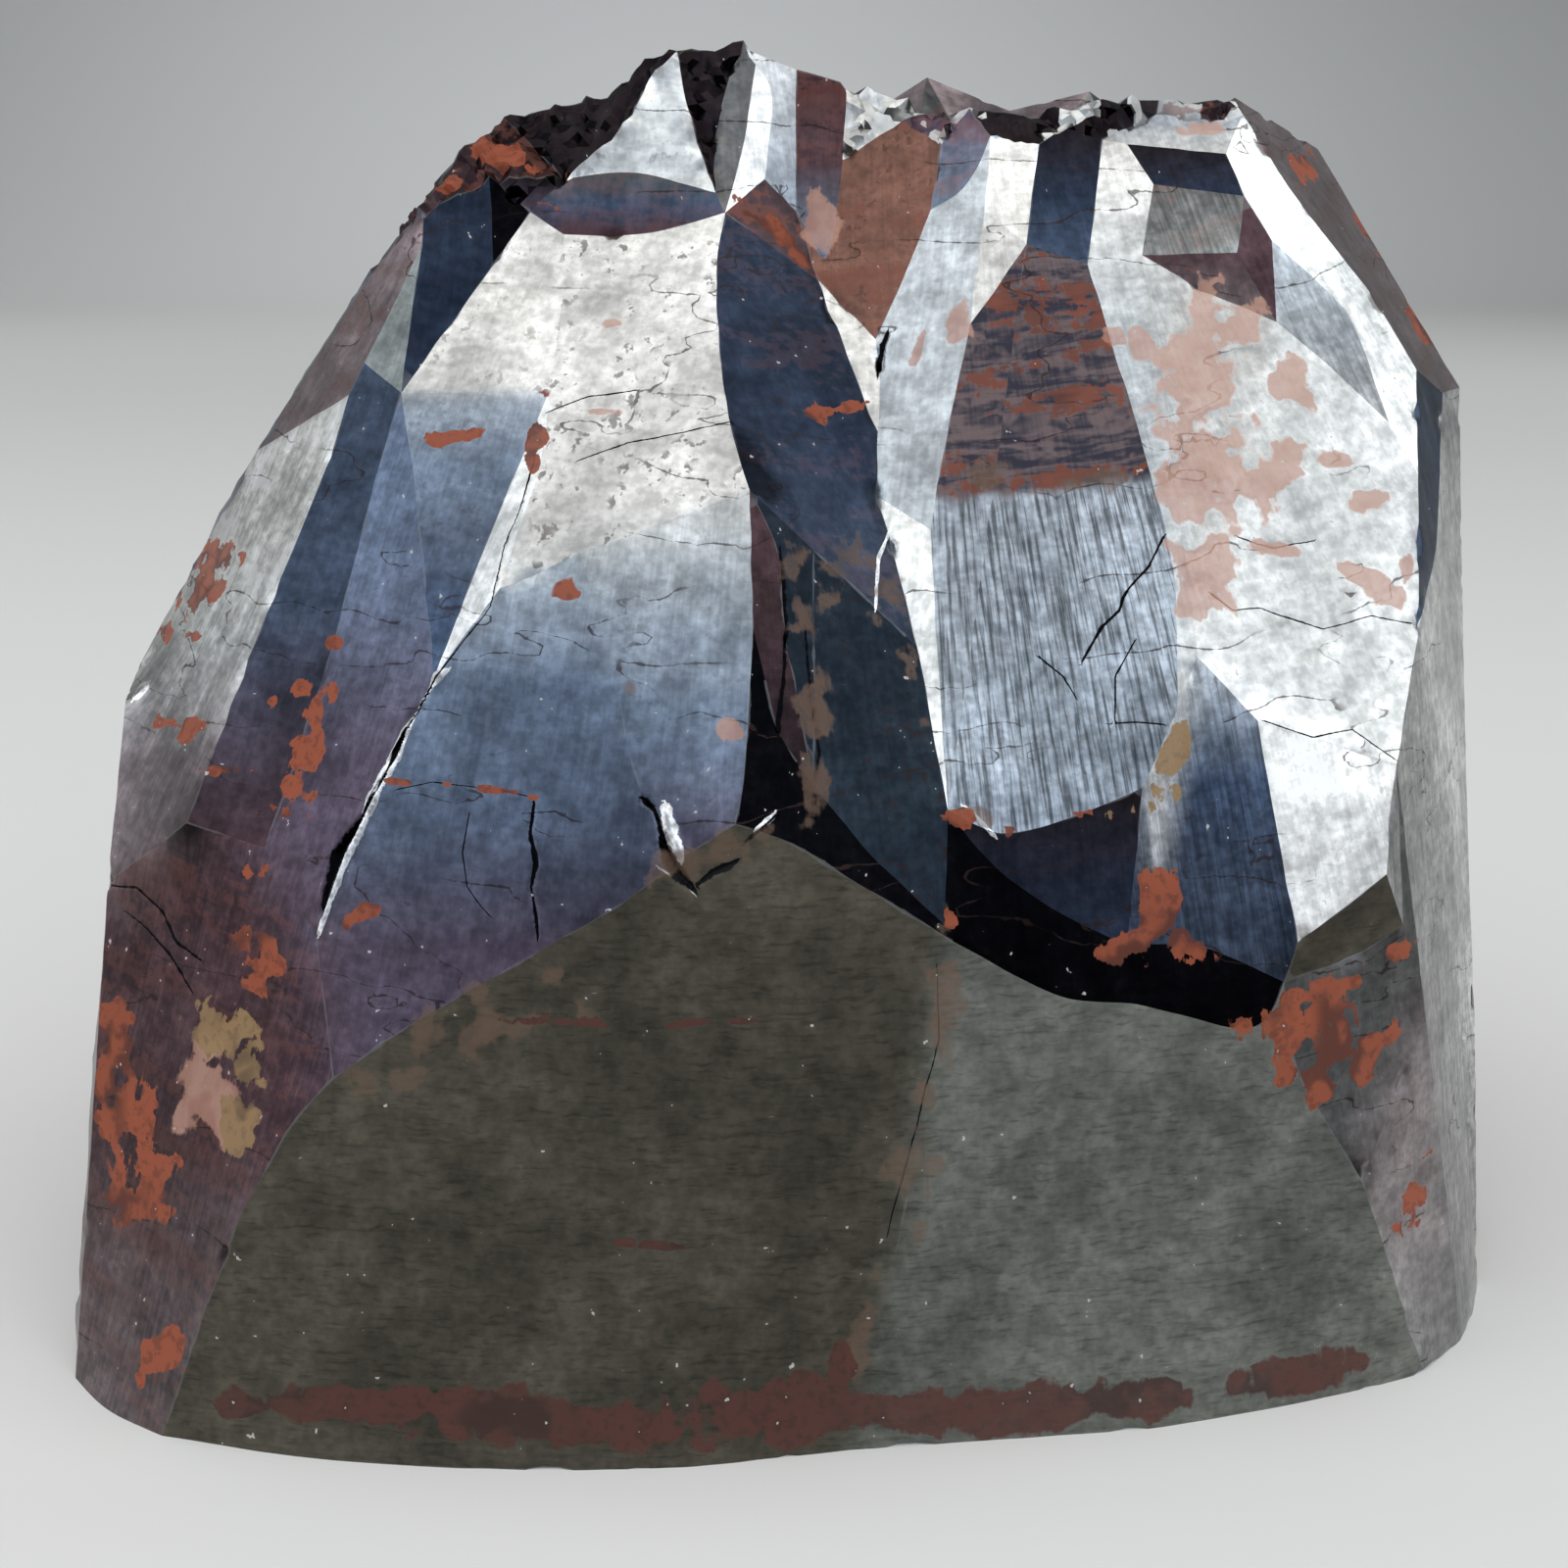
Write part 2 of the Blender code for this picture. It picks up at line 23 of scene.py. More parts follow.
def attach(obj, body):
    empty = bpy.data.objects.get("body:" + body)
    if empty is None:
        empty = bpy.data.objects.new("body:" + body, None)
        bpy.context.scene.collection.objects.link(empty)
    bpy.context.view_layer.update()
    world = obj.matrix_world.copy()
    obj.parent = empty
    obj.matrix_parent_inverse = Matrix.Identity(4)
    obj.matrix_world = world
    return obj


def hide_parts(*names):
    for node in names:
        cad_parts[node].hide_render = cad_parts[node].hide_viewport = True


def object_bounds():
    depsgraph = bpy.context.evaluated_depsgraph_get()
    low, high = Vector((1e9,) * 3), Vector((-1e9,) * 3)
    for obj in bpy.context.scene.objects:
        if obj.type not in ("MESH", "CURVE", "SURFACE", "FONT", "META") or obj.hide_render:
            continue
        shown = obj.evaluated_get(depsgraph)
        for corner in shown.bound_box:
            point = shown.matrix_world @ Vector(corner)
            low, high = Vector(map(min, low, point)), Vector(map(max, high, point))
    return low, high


MM = 0.001

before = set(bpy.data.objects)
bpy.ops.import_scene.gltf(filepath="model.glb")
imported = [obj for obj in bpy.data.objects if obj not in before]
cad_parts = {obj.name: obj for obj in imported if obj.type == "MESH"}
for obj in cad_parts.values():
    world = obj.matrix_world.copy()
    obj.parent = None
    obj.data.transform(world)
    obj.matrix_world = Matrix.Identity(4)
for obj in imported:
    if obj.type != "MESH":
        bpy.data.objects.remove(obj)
SOLID_LOW, SOLID_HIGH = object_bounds()
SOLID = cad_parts["needle_ore"]

# The eye that took the photograph
PICTURE_SIZE = 1600.0
FOCAL_PIXELS = 2200.0
SENSOR_WIDTH = 36.0
PITCH = math.radians(18.0)
EYE = Vector((
    (SOLID_LOW.x + SOLID_HIGH.x) / 2 - 0.89 * MM,
    SOLID_LOW.y - 69.1 * MM,
    49.6 * MM,
))

# Where the fibres grow from, above the jagged top
GROWTH_CENTRE = Vector((1.0, 6.0, 112.0)) * MM

# Division of the mesh in stages: longest edge in front and behind, then rounds of smoothing
# along the borders and inside the facets.  Edges beside the cracks, within so many pixels,
# are divided finest.
STAGES = (
    (2.4 * MM, 3.0 * MM, 0, 60),
    (1.1 * MM, 1.6 * MM, 1, 40),
    (0.36 * MM, 0.9 * MM, 3, 12),
)
LINE_EDGE = 0.13 * MM
LINE_BESIDE = 9.0
DIVIDING_ROUNDS = 8

# A border between two facets stays sharp above this bend
SHARP_BEND = math.radians(9.0)

# Relief worked into the surface
FLUTE_DEPTH = 0.03 * MM
STEP_DEPTH = 0.02 * MM
WANDER = 0.05 * MM
WANDER_SEED = 3
BACK_FLUTE_DEPTH = 0.36 * MM
BACK_ROUGHNESS = 0.12 * MM
CHIP_DEPTH = 0.14 * MM
CHIP_RARITY = 0.28
CHIP_REACH = 0.3 * MM

# The broken crest: number of its chunks, how they tilt, most relief, bend of a sharp edge
CREST_CHUNKS = 260
CREST_SLOPE = 0.65
CREST_DEPTH = 0.3 * MM
CREST_BEND = math.radians(24.0)

# Noises of the relief as sums of waves: how often they turn around and along the direction
# from the growth centre, and their share; then those of plain space
FLUTE_WAVES = ((90.0, 90.0, 1.0), (260.0, 120.0, 0.5))
RING_WAVES = ((9.0, 760.0, 1.0), (24.0, 1900.0, 0.6))
BROAD_WAVES = ((38.0, 60.0, 1.0),)
BLOTCH_WAVES = ((190.0, 1.0), (520.0, 0.6))
PATCH_WAVES = ((800.0, 1.0), (2000.0, 0.6))

# Fine cracks across the growth: how often they turn aside and upwards, and the step in
# which their distance is measured
HAIR_TURNS = (95.0, 95.0, 380.0)
HAIR_STEP = 0.1 * MM

# Rows of tones kept per facet, and how far the fibres of one facet are shifted from the next
TONE_ROWS = 9
FACET_SHIFT = 3.7

# Colours of the facets, as linear reflectance: the hematite's own tint with painted reflection and
# painted shade, from bright white to black
REFLECTED_TONES = {
    "bright": (0.95, 0.95, 0.90),
    "white": (0.77, 0.77, 0.745),
    "light": (0.57, 0.575, 0.565),
    "pale": (0.42, 0.46, 0.49),
    "silver": (0.30, 0.34, 0.39),
    "steel": (0.165, 0.21, 0.285),
    "blue": (0.11, 0.14, 0.20),
    "navy": (0.058, 0.085, 0.14),
    "ink": (0.020, 0.029, 0.050),
    "black": (0.003, 0.003, 0.004),
    "green": (0.20, 0.22, 0.22),
    "purple": (0.095, 0.075, 0.105),
    "mauve": (0.17, 0.14, 0.145),
    "slate": (0.11, 0.11, 0.11),
    "plum": (0.075, 0.044, 0.050),
    "brown": (0.215, 0.102, 0.075),
    "olive": (0.080, 0.072, 0.052),
    "moss": (0.150, 0.155, 0.135),
    "grey": (0.31, 0.31, 0.31),
    "film": (0.018, 0.026, 0.036),
    "pewter": (0.22, 0.235, 0.235),
    "rose": (0.32, 0.255, 0.265),
    "soot": (0.016, 0.012, 0.014),
    "night": (0.045, 0.060, 0.090),
}

# Patterns of the material: scales of the noises (per mm across and along the fibres, per
# metre for the others), bump, and plain colours
FIBRE_SCALE = (6.5, 0.30, 1.0)
LAYER_SCALE = (0.26, 1.9, 1.0)
GRAIN_SCALE = (1000.0, 1000.0, 5600.0)
PIT_SCALE = (2100.0, 2100.0, 1700.0)
FINE_SCALE = 2300.0
BUMP_DEPTH = 0.007 * MM
PLAIN = (1.0, 1.0, 1.0)
# Painted glint on some chunks of the crest
CHUNK_GLINT = (0.62, 0.62, 0.60)
DARK_LAYER = (0.036, 0.036, 0.052)
PALE_LAYER = (0.135, 0.105, 0.110)
RUST_LIGHT = (0.24, 0.075, 0.045)
RUST_DARK = (0.11, 0.045, 0.035)
DARK_MARK = (0.030, 0.018, 0.016)
# Painted highlight along the facet edges
EDGE_HIGHLIGHT = (0.30, 0.31, 0.32)
# Painted shade inside the open cracks
CRACK_SHADE = (0.004, 0.004, 0.005)
DUST = (0.6, 0.58, 0.55)

# Looks of the stains: light and dark colour, cover, how frayed, and width of the soft rim
STAIN_LOOKS = {
    "earth": ((0.17, 0.10, 0.065), (0.080, 0.058, 0.044), 0.6, 1.5, 0.35),
    "brick": ((0.100, 0.034, 0.026), (0.050, 0.022, 0.017), 0.9, 0.5, 0.10),
    "pink": ((0.60, 0.34, 0.25), (0.48, 0.24, 0.17), 0.65, 0.7, 0.12),
    "red": ((0.34, 0.082, 0.036), (0.12, 0.032, 0.018), 0.95, 1.0, 0.05),
    "limonite": ((0.32, 0.20, 0.09), (0.16, 0.10, 0.05), 0.9, 1.0, 0.06),
}

# Facets that the photograph shows: tones from the top to the foot, roughness, pixels inside
# The tones are painted reflection and painted shade: white where a facet mirrors the bright sky, blue and
# navy where it mirrors dimmer parts of the room, black on the ledges and the notch as painted shade
FACETS = {
    "olive_left": ("olive", 0.50, (600, 1180), (860, 1000), (340, 1200), (770, 900)),
    "olive_right": ("moss", 0.50, (1150, 1130), (980, 1100), (1250, 1120), (1000, 1400),
                    (1340, 1350)),
    "maroon_face": ("plum plum mauve", 0.34, (110, 1100), (240, 1080), (230, 900)),
    "left_blade": ("bright bright light mauve mauve", 0.24, (290, 480)),
    "navy_stripe": ("night night plum", 0.22, (230, 820), (350, 450)),
    "blue_stripe": ("blue blue purple purple", 0.24, (370, 660)),
    "far_left": ("rose", 0.28, (350, 340)),
    "green_fin": ("green", 0.20, (400, 350)),
    "dark_blade": ("ink", 0.15, (466, 220)),
    "dark_notch": ("black", 0.15, (512, 222)),
    "orange_shoulder": ("soot plum", 0.30, (500, 150)),
    "purple_bit": ("soot purple", 0.25, (550, 200)),
    "glint_face": ("light white light", 0.18, (520, 330), (555, 240)),
    "sky_panel": ("silver steel blue navy navy", 0.20, (480, 480)),
    "pale_sliver": ("light white", 0.18, (520, 545)),
    "blue_apron": ("pale steel blue purple purple", 0.24, (400, 1000), (580, 640), (670, 865)),
    "white_face": ("white light light light", 0.17, (650, 380), (720, 290)),
    "blue_face": ("light silver steel purple", 0.22, (690, 660)),
    "crown_face": ("white", 0.17, (670, 140), (610, 170), (672, 110)),
    "crown_band": ("slate navy plum", 0.20, (600, 215)),
    "crown_lump": ("soot", 0.25, (640, 105)),
    "peak_left": ("soot", 0.20, (672, 65)),
    "peak_dark": ("soot", 0.18, (715, 90), (735, 65)),
    "peak_grey": ("slate", 0.20, (750, 120)),
    "peak_white": ("white", 0.17, (775, 130)),
    "peak_strip": ("light silver", 0.20, (803, 130)),
    "peak_purple": ("plum plum steel", 0.24, (840, 120)),
    "red_strip": ("plum", 0.32, (785, 225), (825, 265)),
    "navy_face": ("ink ink night", 0.15, (860, 400), (830, 530)),
    "cream_sliver": ("white", 0.18, (865, 345)),
    "brown_face": ("brown", 0.34, (890, 220), (880, 310)),
    "brown_top": ("white", 0.20, (895, 125)),
    "notch_face": ("purple", 0.22, (950, 130)),
    "seam_strip": ("plum soot", 0.28, (780, 640)),
    "film_side": ("film", 0.30, (815, 680)),
    "film_face": ("film", 0.26, (870, 620), (950, 880)),
    "pale_blade": ("pale", 0.18, (940, 350), (965, 240)),
    "long_sliver": ("white", 0.17, (930, 570)),
    "black_ledge": ("black", 0.14, (775, 800), (920, 915)),
    "fan_left": ("silver", 0.24, (1010, 400)),
    "fan_face": ("silver", 0.24, (1100, 600), (1060, 780), (1080, 350), (1100, 450)),
    "fan_streaks": ("light", 0.22, (1015, 260)),
    "tooth_left": ("purple steel", 0.22, (980, 170)),
    "tooth_face": ("white", 0.17, (1030, 190)),
    "tooth_top": ("soot", 0.20, (1040, 133)),
    "tooth_right": ("soot ink navy", 0.20, (1095, 200)),
    "gap_top": ("soot", 0.18, (1114, 125)),
    "apron_face": ("soot ink", 0.22, (1090, 890), (1010, 870)),
    "right_ledge": ("black", 0.14, (1060, 970), (990, 910), (1200, 990)),
    "white_rib": ("white pale pale light", 0.20, (1130, 180), (1180, 420)),
    "cap_face": ("slate pewter", 0.22, (1240, 215)),
    "cap_black": ("soot ink", 0.16, (1210, 175), (1190, 165)),
    "cap_pink": ("silver light", 0.22, (1190, 135)),
    "cap_top": ("soot plum", 0.26, (1190, 111), (1240, 110)),
    "band_face": ("plum mauve", 0.24, (1230, 280)),
    "cap_maroon": ("plum", 0.26, (1285, 245)),
    "pink_face": ("light", 0.24, (1215, 450)),
    "pale_face": ("white light white", 0.20, (1350, 650), (1400, 470), (1310, 390)),
    "cream_face": ("bright white", 0.20, (1350, 850)),
    "strip_inner": ("pale grey", 0.20, (1350, 340), (1320, 290)),
    "strip_outer": ("bright", 0.17, (1275, 170), (1435, 450)),
    "fibre_strip": ("light", 0.24, (1195, 790)),
    "fibre_face": ("pale navy night night", 0.24, (1220, 760), (1305, 960), (1200, 940)),
    "far_crest": ("rose mauve", 0.30, (944, 84), (960, 90), (1103, 100)),
    "far_right": ("rose", 0.28, (1400, 250)),
    "navy_side": ("navy", 0.22, (1458, 460)),
    "grey_side": ("light", 0.26, (1470, 700)),
    "grey_heel": ("grey", 0.30, (1495, 1200), (1430, 900)),
    "olive_heel": ("olive", 0.34, (1380, 950)),
    "dark_heel": ("slate", 0.28, (1370, 1080), (1440, 1000)),
    "corner_heel": ("rose grey", 0.30, (1430, 1230), (1460, 1350)),
}

# Facets that no pixel reaches: tones to choose from, roughness, nature as in the tables
# below, and strength of their growth bands
BACK_TONES = ("steel", "slate", "mauve", "pewter", "slate", "steel", "purple", "mauve")
BACK_GLOSS = 0.26
BACK_NATURE = (0.95, 0.0, 0.0, 0.3)
BACK_BANDS = 0.4

# The facets of the broken crest, and those of them with painted glints on some of their chunks
CREST_FACETS = ("crown_lump", "peak_left", "peak_dark", "gap_top", "tooth_top", "cap_top",
                "orange_shoulder", "notch_face", "brown_top", "purple_bit")
GLINTING_CREST = ("gap_top", "tooth_top", "cap_top", "brown_top", "notch_face")

# Pairs of facets whose painted tones pass softly into each other: width in mm
SOFT_PAIRS = {
    ("white_face", "blue_face"): 2.4, ("olive_left", "olive_right"): 1.2,
    ("blue_apron", "blue_face"): 1.2,
    ("left_blade", "maroon_face"): 3.0, ("navy_stripe", "maroon_face"): 3.0,
    ("blue_stripe", "maroon_face"): 3.0, ("blue_apron", "maroon_face"): 3.0,
    ("glint_face", "sky_panel"): 0.5, ("pink_face", "pale_face"): 1.5,
    ("pale_face", "cream_face"): 2.5, ("fan_left", "fan_face"): 1.0,
    ("fibre_strip", "fibre_face"): 1.0, ("grey_side", "grey_heel"): 3.0,
    ("dark_heel", "corner_heel"): 2.5, ("film_side", "film_face"): 1.0,
    ("white_rib", "pink_face"): 1.2, ("grey_heel", "corner_heel"): 2.5,
}

# Facets with less lustre, those with near-level grain, and the two of the fan with a pixel
# on its line of growth; then how strongly fibres, pits and growth bands show
DULL_FACETS = {"olive_left": 0.35, "olive_right": 0.35, "olive_heel": 0.5, "brown_face": 0.5,
               "red_strip": 0.6}
GRAIN_FACETS = ("olive_left", "olive_right", "olive_heel")
FAN_FACETS = ("fan_left", "fan_face")
FAN_LINE = (1060, 505)
BACK_FIBROUS = 0.6
PLAIN_FIBROUS = 0.3
FIBROUS_FACETS = {"fan_left": 0.8, "fan_face": 1.0, "left_blade": 0.5, "blue_stripe": 0.4,
                  "cream_face": 0.35, "fibre_face": 1.0, "fibre_strip": 0.8, "blue_apron": 0.3,
                  "blue_face": 0.3, "grey_side": 0.7, "grey_heel": 0.8, "maroon_face": 0.6,
                  "white_face": 0.1, "crown_face": 0.1, "glint_face": 0.2, "pale_face": 0.15,
                  "navy_face": 0.15, "navy_stripe": 0.3, "cap_face": 1.0, "strip_inner": 0.6,
                  "olive_left": 0.0, "olive_right": 0.0, "olive_heel": 0.0}
PLAIN_PITTED = 0.1
PITTED_FACETS = {"white_face": 1.0, "glint_face": 0.6, "crown_face": 0.5, "navy_face": 0.3,
                 "film_face": 1.0, "film_side": 1.0, "dark_blade": 0.5, "cream_face": 0.3,
                 "brown_face": 0.7, "fibre_face": 0.5, "blue_face": 0.3, "sky_panel": 0.4}
BANDED_FACETS = {"brown_face": 0.7, "crown_band": 0.25, "peak_purple": 0.3, "band_face": 0.4,
                 "cap_face": 0.3, "maroon_face": 0.25, "far_left": 0.5, "navy_face": 0.12,
                 "orange_shoulder": 0.5, "red_strip": 0.8, "far_right": 0.5, "cap_top": 0.7,
                 "notch_face": 0.4, "tooth_left": 0.4}

# Stains as ovals: middle, half width and half height in pixels, and tilt in degrees
STAINS = {
    "red": (
        (122, 1066, 18, 36, -25), (130, 1140, 24, 34, -15), (150, 1182, 24, 22, 0),
        (138, 1222, 38, 26, -15), (112, 1110, 12, 20, 0), (168, 1386, 20, 34, 25),
        (306, 702, 22, 12, -10), (280, 714, 9, 6, 0), (322, 738, 12, 20, -35),
        (315, 778, 18, 24, 15), (298, 800, 14, 16, 20), (285, 826, 20, 10, 20),
        (340, 656, 9, 7, 0), (205, 602, 14, 24, 25), (222, 570, 20, 16, -20), (166, 646, 7, 10, 0),
        (198, 650, 6, 5, 0), (172, 738, 28, 9, 5), (185, 750, 12, 8, 0), (250, 892, 18, 7, -10),
        (375, 928, 16, 8, -20), (354, 942, 6, 7, 0), (246, 955, 14, 12, 0), (270, 962, 9, 16, -20),
        (272, 988, 20, 10, 10), (262, 1008, 18, 6, 40), (340, 708, 4, 9, 0), (232, 786, 20, 5, 0),
        (460, 190, 13, 6, -30), (512, 162, 26, 11, 22), (545, 174, 20, 9, 12), (492, 148, 8, 8, 0),
        (1182, 935, 24, 34, 8), (1150, 972, 34, 13, -22), (1204, 955, 26, 18, 20),
        (1172, 985, 10, 14, 0), (971, 937, 7, 10, 0), (852, 418, 36, 6, -10), (833, 424, 10, 8, 0),
        (1338, 1044, 48, 38, 10), (1364, 1074, 42, 42, 0), (1346, 1102, 30, 22, 0),
        (1322, 1018, 22, 16, -20), (1402, 986, 36, 7, -30), (1385, 1000, 14, 8, -30),
        (556, 208, 14, 5, 10), (796, 240, 40, 7, 38), (818, 262, 14, 8, 40), (768, 222, 18, 5, 30),
        (1442, 1222, 9, 34, 18), (1425, 1252, 7, 10, 0), (581, 604, 10, 7, 0),
        (449, 449, 30, 6, -8), (546, 445, 8, 30, 10), (1102, 830, 12, 5, 0), (1030, 845, 7, 12, 0),
        (978, 835, 12, 12, 0), (410, 798, 18, 3, 5), (500, 806, 40, 3, 8), (330, 340, 8, 30, 30),
        (1450, 330, 8, 34, -35), (1400, 230, 14, 30, -35), (1330, 170, 12, 20, -35),
    ),
    "pink": (
        (1222, 380, 48, 84, 5), (1232, 480, 52, 62, 0), (1228, 580, 30, 54, 0), (1258, 335, 40, 36, 0),
        (1316, 384, 17, 28, 25), (1332, 408, 12, 18, 0), (1288, 490, 40, 26, 0), (1395, 512, 22, 12, -20),
        (1395, 590, 30, 12, 20), (1418, 606, 18, 12, 20), (1310, 462, 24, 16, 0), (1436, 572, 8, 26, 0),
        (975, 330, 14, 26, 0), (938, 355, 6, 26, 20), (1135, 345, 18, 12, 0), (1360, 470, 30, 8, 0),
        (835, 225, 22, 34, 0), (1165, 350, 16, 20, 0), (218, 1128, 40, 40, 15), (196, 1100, 26, 22, 0),
        (210, 1070, 20, 14, 0), (1228, 130, 20, 8, 0), (625, 330, 14, 6, 0), (750, 745, 20, 12, 0),
        (1300, 560, 30, 8, 10), (610, 420, 20, 5, 0),
    ),
    "limonite": (
        (224, 1052, 24, 24, 0), (252, 1086, 14, 32, 0), (244, 1140, 14, 30, 10),
        (1192, 775, 12, 36, 18), (1203, 810, 8, 14, 0), (1136, 833, 7, 7, 0), (1156, 823, 6, 9, 0),
    ),
    "brick": (
        (400, 1434, 160, 22, 2), (600, 1455, 120, 26, 3), (800, 1440, 130, 34, 0),
        (858, 1395, 12, 30, 0), (1000, 1440, 160, 28, -3), (1150, 1428, 80, 24, -4),
        (1320, 1405, 80, 24, -14), (700, 1044, 100, 4, -2), (570, 1042, 60, 4, 2),
        (250, 1435, 30, 14, 0), (500, 1445, 100, 28, 0),
        (1185, 1415, 30, 14, 0), (900, 1440, 60, 24, 0), (660, 1270, 60, 5, 3),
    ),
    "earth": (
        (850, 575, 22, 36, 20), (812, 590, 12, 50, 0), (830, 740, 14, 70, 0), (900, 600, 20, 30, 0),
        (965, 1010, 14, 60, 0), (925, 650, 8, 60, -12), (1000, 830, 16, 8, 20), (640, 700, 6, 10, 0),
        (935, 1180, 20, 60, 10), (880, 1360, 14, 60, 6), (700, 880, 60, 14, -20),
        (1010, 485, 50, 10, 0), (1120, 490, 60, 10, -3), (470, 1060, 90, 30, -20),
    ),
}

# Open cracks as broken lines: depth, then pixels with the half width there
CRACKS = {
    "open": (0.35 * MM, (443, 694, 1.2), (428, 722, 1.0), (414, 746, 1.2), (404, 768, 3.0),
             (396, 786, 1.0), (380, 812, 1.4), (368, 836, 2.6), (357, 853, 5.0),
             (345, 872, 5.5), (338, 892, 4.5), (332, 912, 3.5), (328, 934, 1.2)),
    "gash": (0.35 * MM, (657, 817, 3.0), (668, 826, 2.0), (673, 845, 2.5), (676, 862, 4.0),
             (686, 884, 8.0), (698, 898, 7.0), (709, 909, 2.0)),
    "peak": (0.15 * MM, (712, 902, 2.0), (728, 890, 4.0), (745, 882, 4.0), (753, 877, 1.5)),
    "peak_end": (0.10 * MM, (760, 860, 1.5), (775, 848, 2.0), (792, 830, 1.0)),
    "pitted": (0.12 * MM, (545, 818, 1.4), (541, 850, 2.0), (547, 880, 3.0), (542, 905, 1.2),
               (546, 935, 2.0), (548, 958, 1.0)),
    "panel": (0.08 * MM, (112, 903, 0.8), (140, 906, 1.2), (165, 930, 1.0), (180, 962, 1.6),
              (205, 980, 0.8)),
    "panel_low": (0.06 * MM, (128, 930, 0.6), (150, 948, 0.8), (172, 972, 1.4), (196, 1012, 0.8)),
    "fan_stairs": (0.05 * MM, (1188, 548, 1.2), (1172, 578, 1.2), (1152, 600, 1.4),
                   (1146, 610, 1.8), (1142, 622, 1.4), (1124, 640, 1.8), (1118, 652, 1.2),
                   (1104, 676, 1.4)),
    "fan_corner": (0.05 * MM, (1158, 655, 0.7), (1138, 690, 1.0), (1138, 738, 0.7)),
    "fan_level": (0.05 * MM, (1130, 739, 0.7), (1160, 737, 0.8), (1188, 739, 0.8)),
    "fan_short": (0.05 * MM, (1060, 670, 1.0), (1085, 690, 0.8), (1098, 712, 0.6)),
    "sliver": (0.15 * MM, (906, 338, 1.5), (901, 350, 3.0), (897, 366, 2.5), (895, 384, 1.0)),
    "rib": (0.03 * MM, (1236, 606, 1.0), (1258, 624, 0.7), (1286, 620, 0.6), (1320, 632, 0.9),
            (1350, 642, 0.6), (1400, 628, 0.6), (1440, 636, 0.6)),
    "rib_high": (0.05 * MM, (1262, 548, 0.6), (1300, 560, 0.8), (1340, 552, 0.6)),
    "seam": (0.20 * MM, (797, 560, 1.2), (800, 600, 2.0), (803, 640, 1.8), (799, 700, 2.0),
             (794, 748, 2.5)),
    "seam_side": (0.10 * MM, (822, 640, 1.2), (826, 700, 1.2), (836, 770, 1.5), (832, 800, 1.0)),
    "side": (0.05 * MM, (545, 468, 1.0), (530, 520, 0.6), (515, 556, 0.6), (500, 620, 0.6),
             (446, 690, 0.8)),
    "level_a": (0.03 * MM, (405, 806, 0.5), (440, 798, 0.6), (480, 802, 0.5), (540, 812, 0.5)),
    "level_b": (0.03 * MM, (590, 470, 0.6), (640, 452, 0.7), (700, 440, 0.6), (744, 430, 0.6)),
    "level_c": (0.03 * MM, (560, 420, 0.6), (600, 404, 0.7), (650, 398, 0.6)),
    "level_d": (0.03 * MM, (1290, 735, 0.7), (1340, 752, 0.8), (1380, 745, 0.6), (1424, 775, 0.7)),
    "apron_a": (0.04 * MM, (478, 830, 0.6), (472, 870, 0.7), (476, 905, 0.6), (500, 935, 0.6)),
    "olive_a": (0.05 * MM, (955, 985, 0.6), (958, 1060, 0.7), (935, 1150, 0.8), (905, 1260, 0.6)),
}

# Bright broken flakes beside the cracks, in the same way; then how far a line is felt
# beyond its width, and over how many pixels it fades
FLAKES = {
    "open": (0.06 * MM, (456, 684, 3.0), (447, 690, 5.0), (438, 704, 1.5), (424, 728, 1.4),
             (413, 750, 4.0), (402, 776, 6.0), (390, 796, 6.0), (378, 820, 6.0), (367, 846, 5.0),
             (355, 872, 4.5), (345, 896, 4.5), (335, 922, 4.0), (325, 952, 2.5)),
    "gash": (0.12 * MM, (680, 826, 6.0), (683, 845, 8.0), (691, 862, 7.0), (695, 876, 4.0)),
    "gash_rim": (0.03 * MM, (672, 886, 1.0), (690, 896, 1.2), (703, 906, 1.2), (709, 912, 0.8)),
    "film": (0.03 * MM, (908, 540, 1.5), (897, 570, 2.0), (893, 620, 1.5)),
    "brow": (0.05 * MM, (772, 846, 2.0), (782, 838, 4.0), (790, 830, 2.0)),
    "left": (0.05 * MM, (148, 700, 5.0), (138, 712, 4.0)),
    "left_high": (0.05 * MM, (157, 662, 3.0), (148, 676, 4.0)),
    "ledge": (0.04 * MM, (984, 824, 2.0), (1000, 838, 2.5), (1014, 852, 2.5)),
}
LINE_REACH = 5.0
LINE_FADE = 3.5


def facet_numbers(names):
    return [list(FACETS).index(name) for name in names]


def pixel_of(places):
    """Pixels at which the eye sees an array of places."""
    away = np.asarray(places, float).reshape(-1, 3) - np.array(EYE)
    across = away[:, 0]
    ahead = away[:, 1] * math.cos(PITCH) - away[:, 2] * math.sin(PITCH)
    above = away[:, 1] * math.sin(PITCH) + away[:, 2] * math.cos(PITCH)
    middle = PICTURE_SIZE / 2
    return np.stack((
        middle + FOCAL_PIXELS * across / ahead,
        middle - FOCAL_PIXELS * above / ahead,
    ), axis=1)


def sight_line(x, y):
    """Direction from the eye through a pixel."""
    across = (x - PICTURE_SIZE / 2) / FOCAL_PIXELS
    above = (PICTURE_SIZE / 2 - y) / FOCAL_PIXELS
    away = math.cos(PITCH) + above * math.sin(PITCH)
    rise = above * math.cos(PITCH) - math.sin(PITCH)
    return Vector((across, away, rise)).normalized()


def add_camera():
    camera = bpy.data.objects.new("camera", bpy.data.cameras.new("camera"))
    camera.data.sensor_width = SENSOR_WIDTH
    camera.data.lens = FOCAL_PIXELS * SENSOR_WIDTH / PICTURE_SIZE
    camera.data.clip_start = 0.001
    camera.data.clip_end = 10.0
    camera.location = EYE
    camera.rotation_euler = (math.radians(90.0) - PITCH, 0.0, 0.0)
    bpy.context.scene.collection.objects.link(camera)
    bpy.context.scene.camera = camera


# Building the dressed mesh

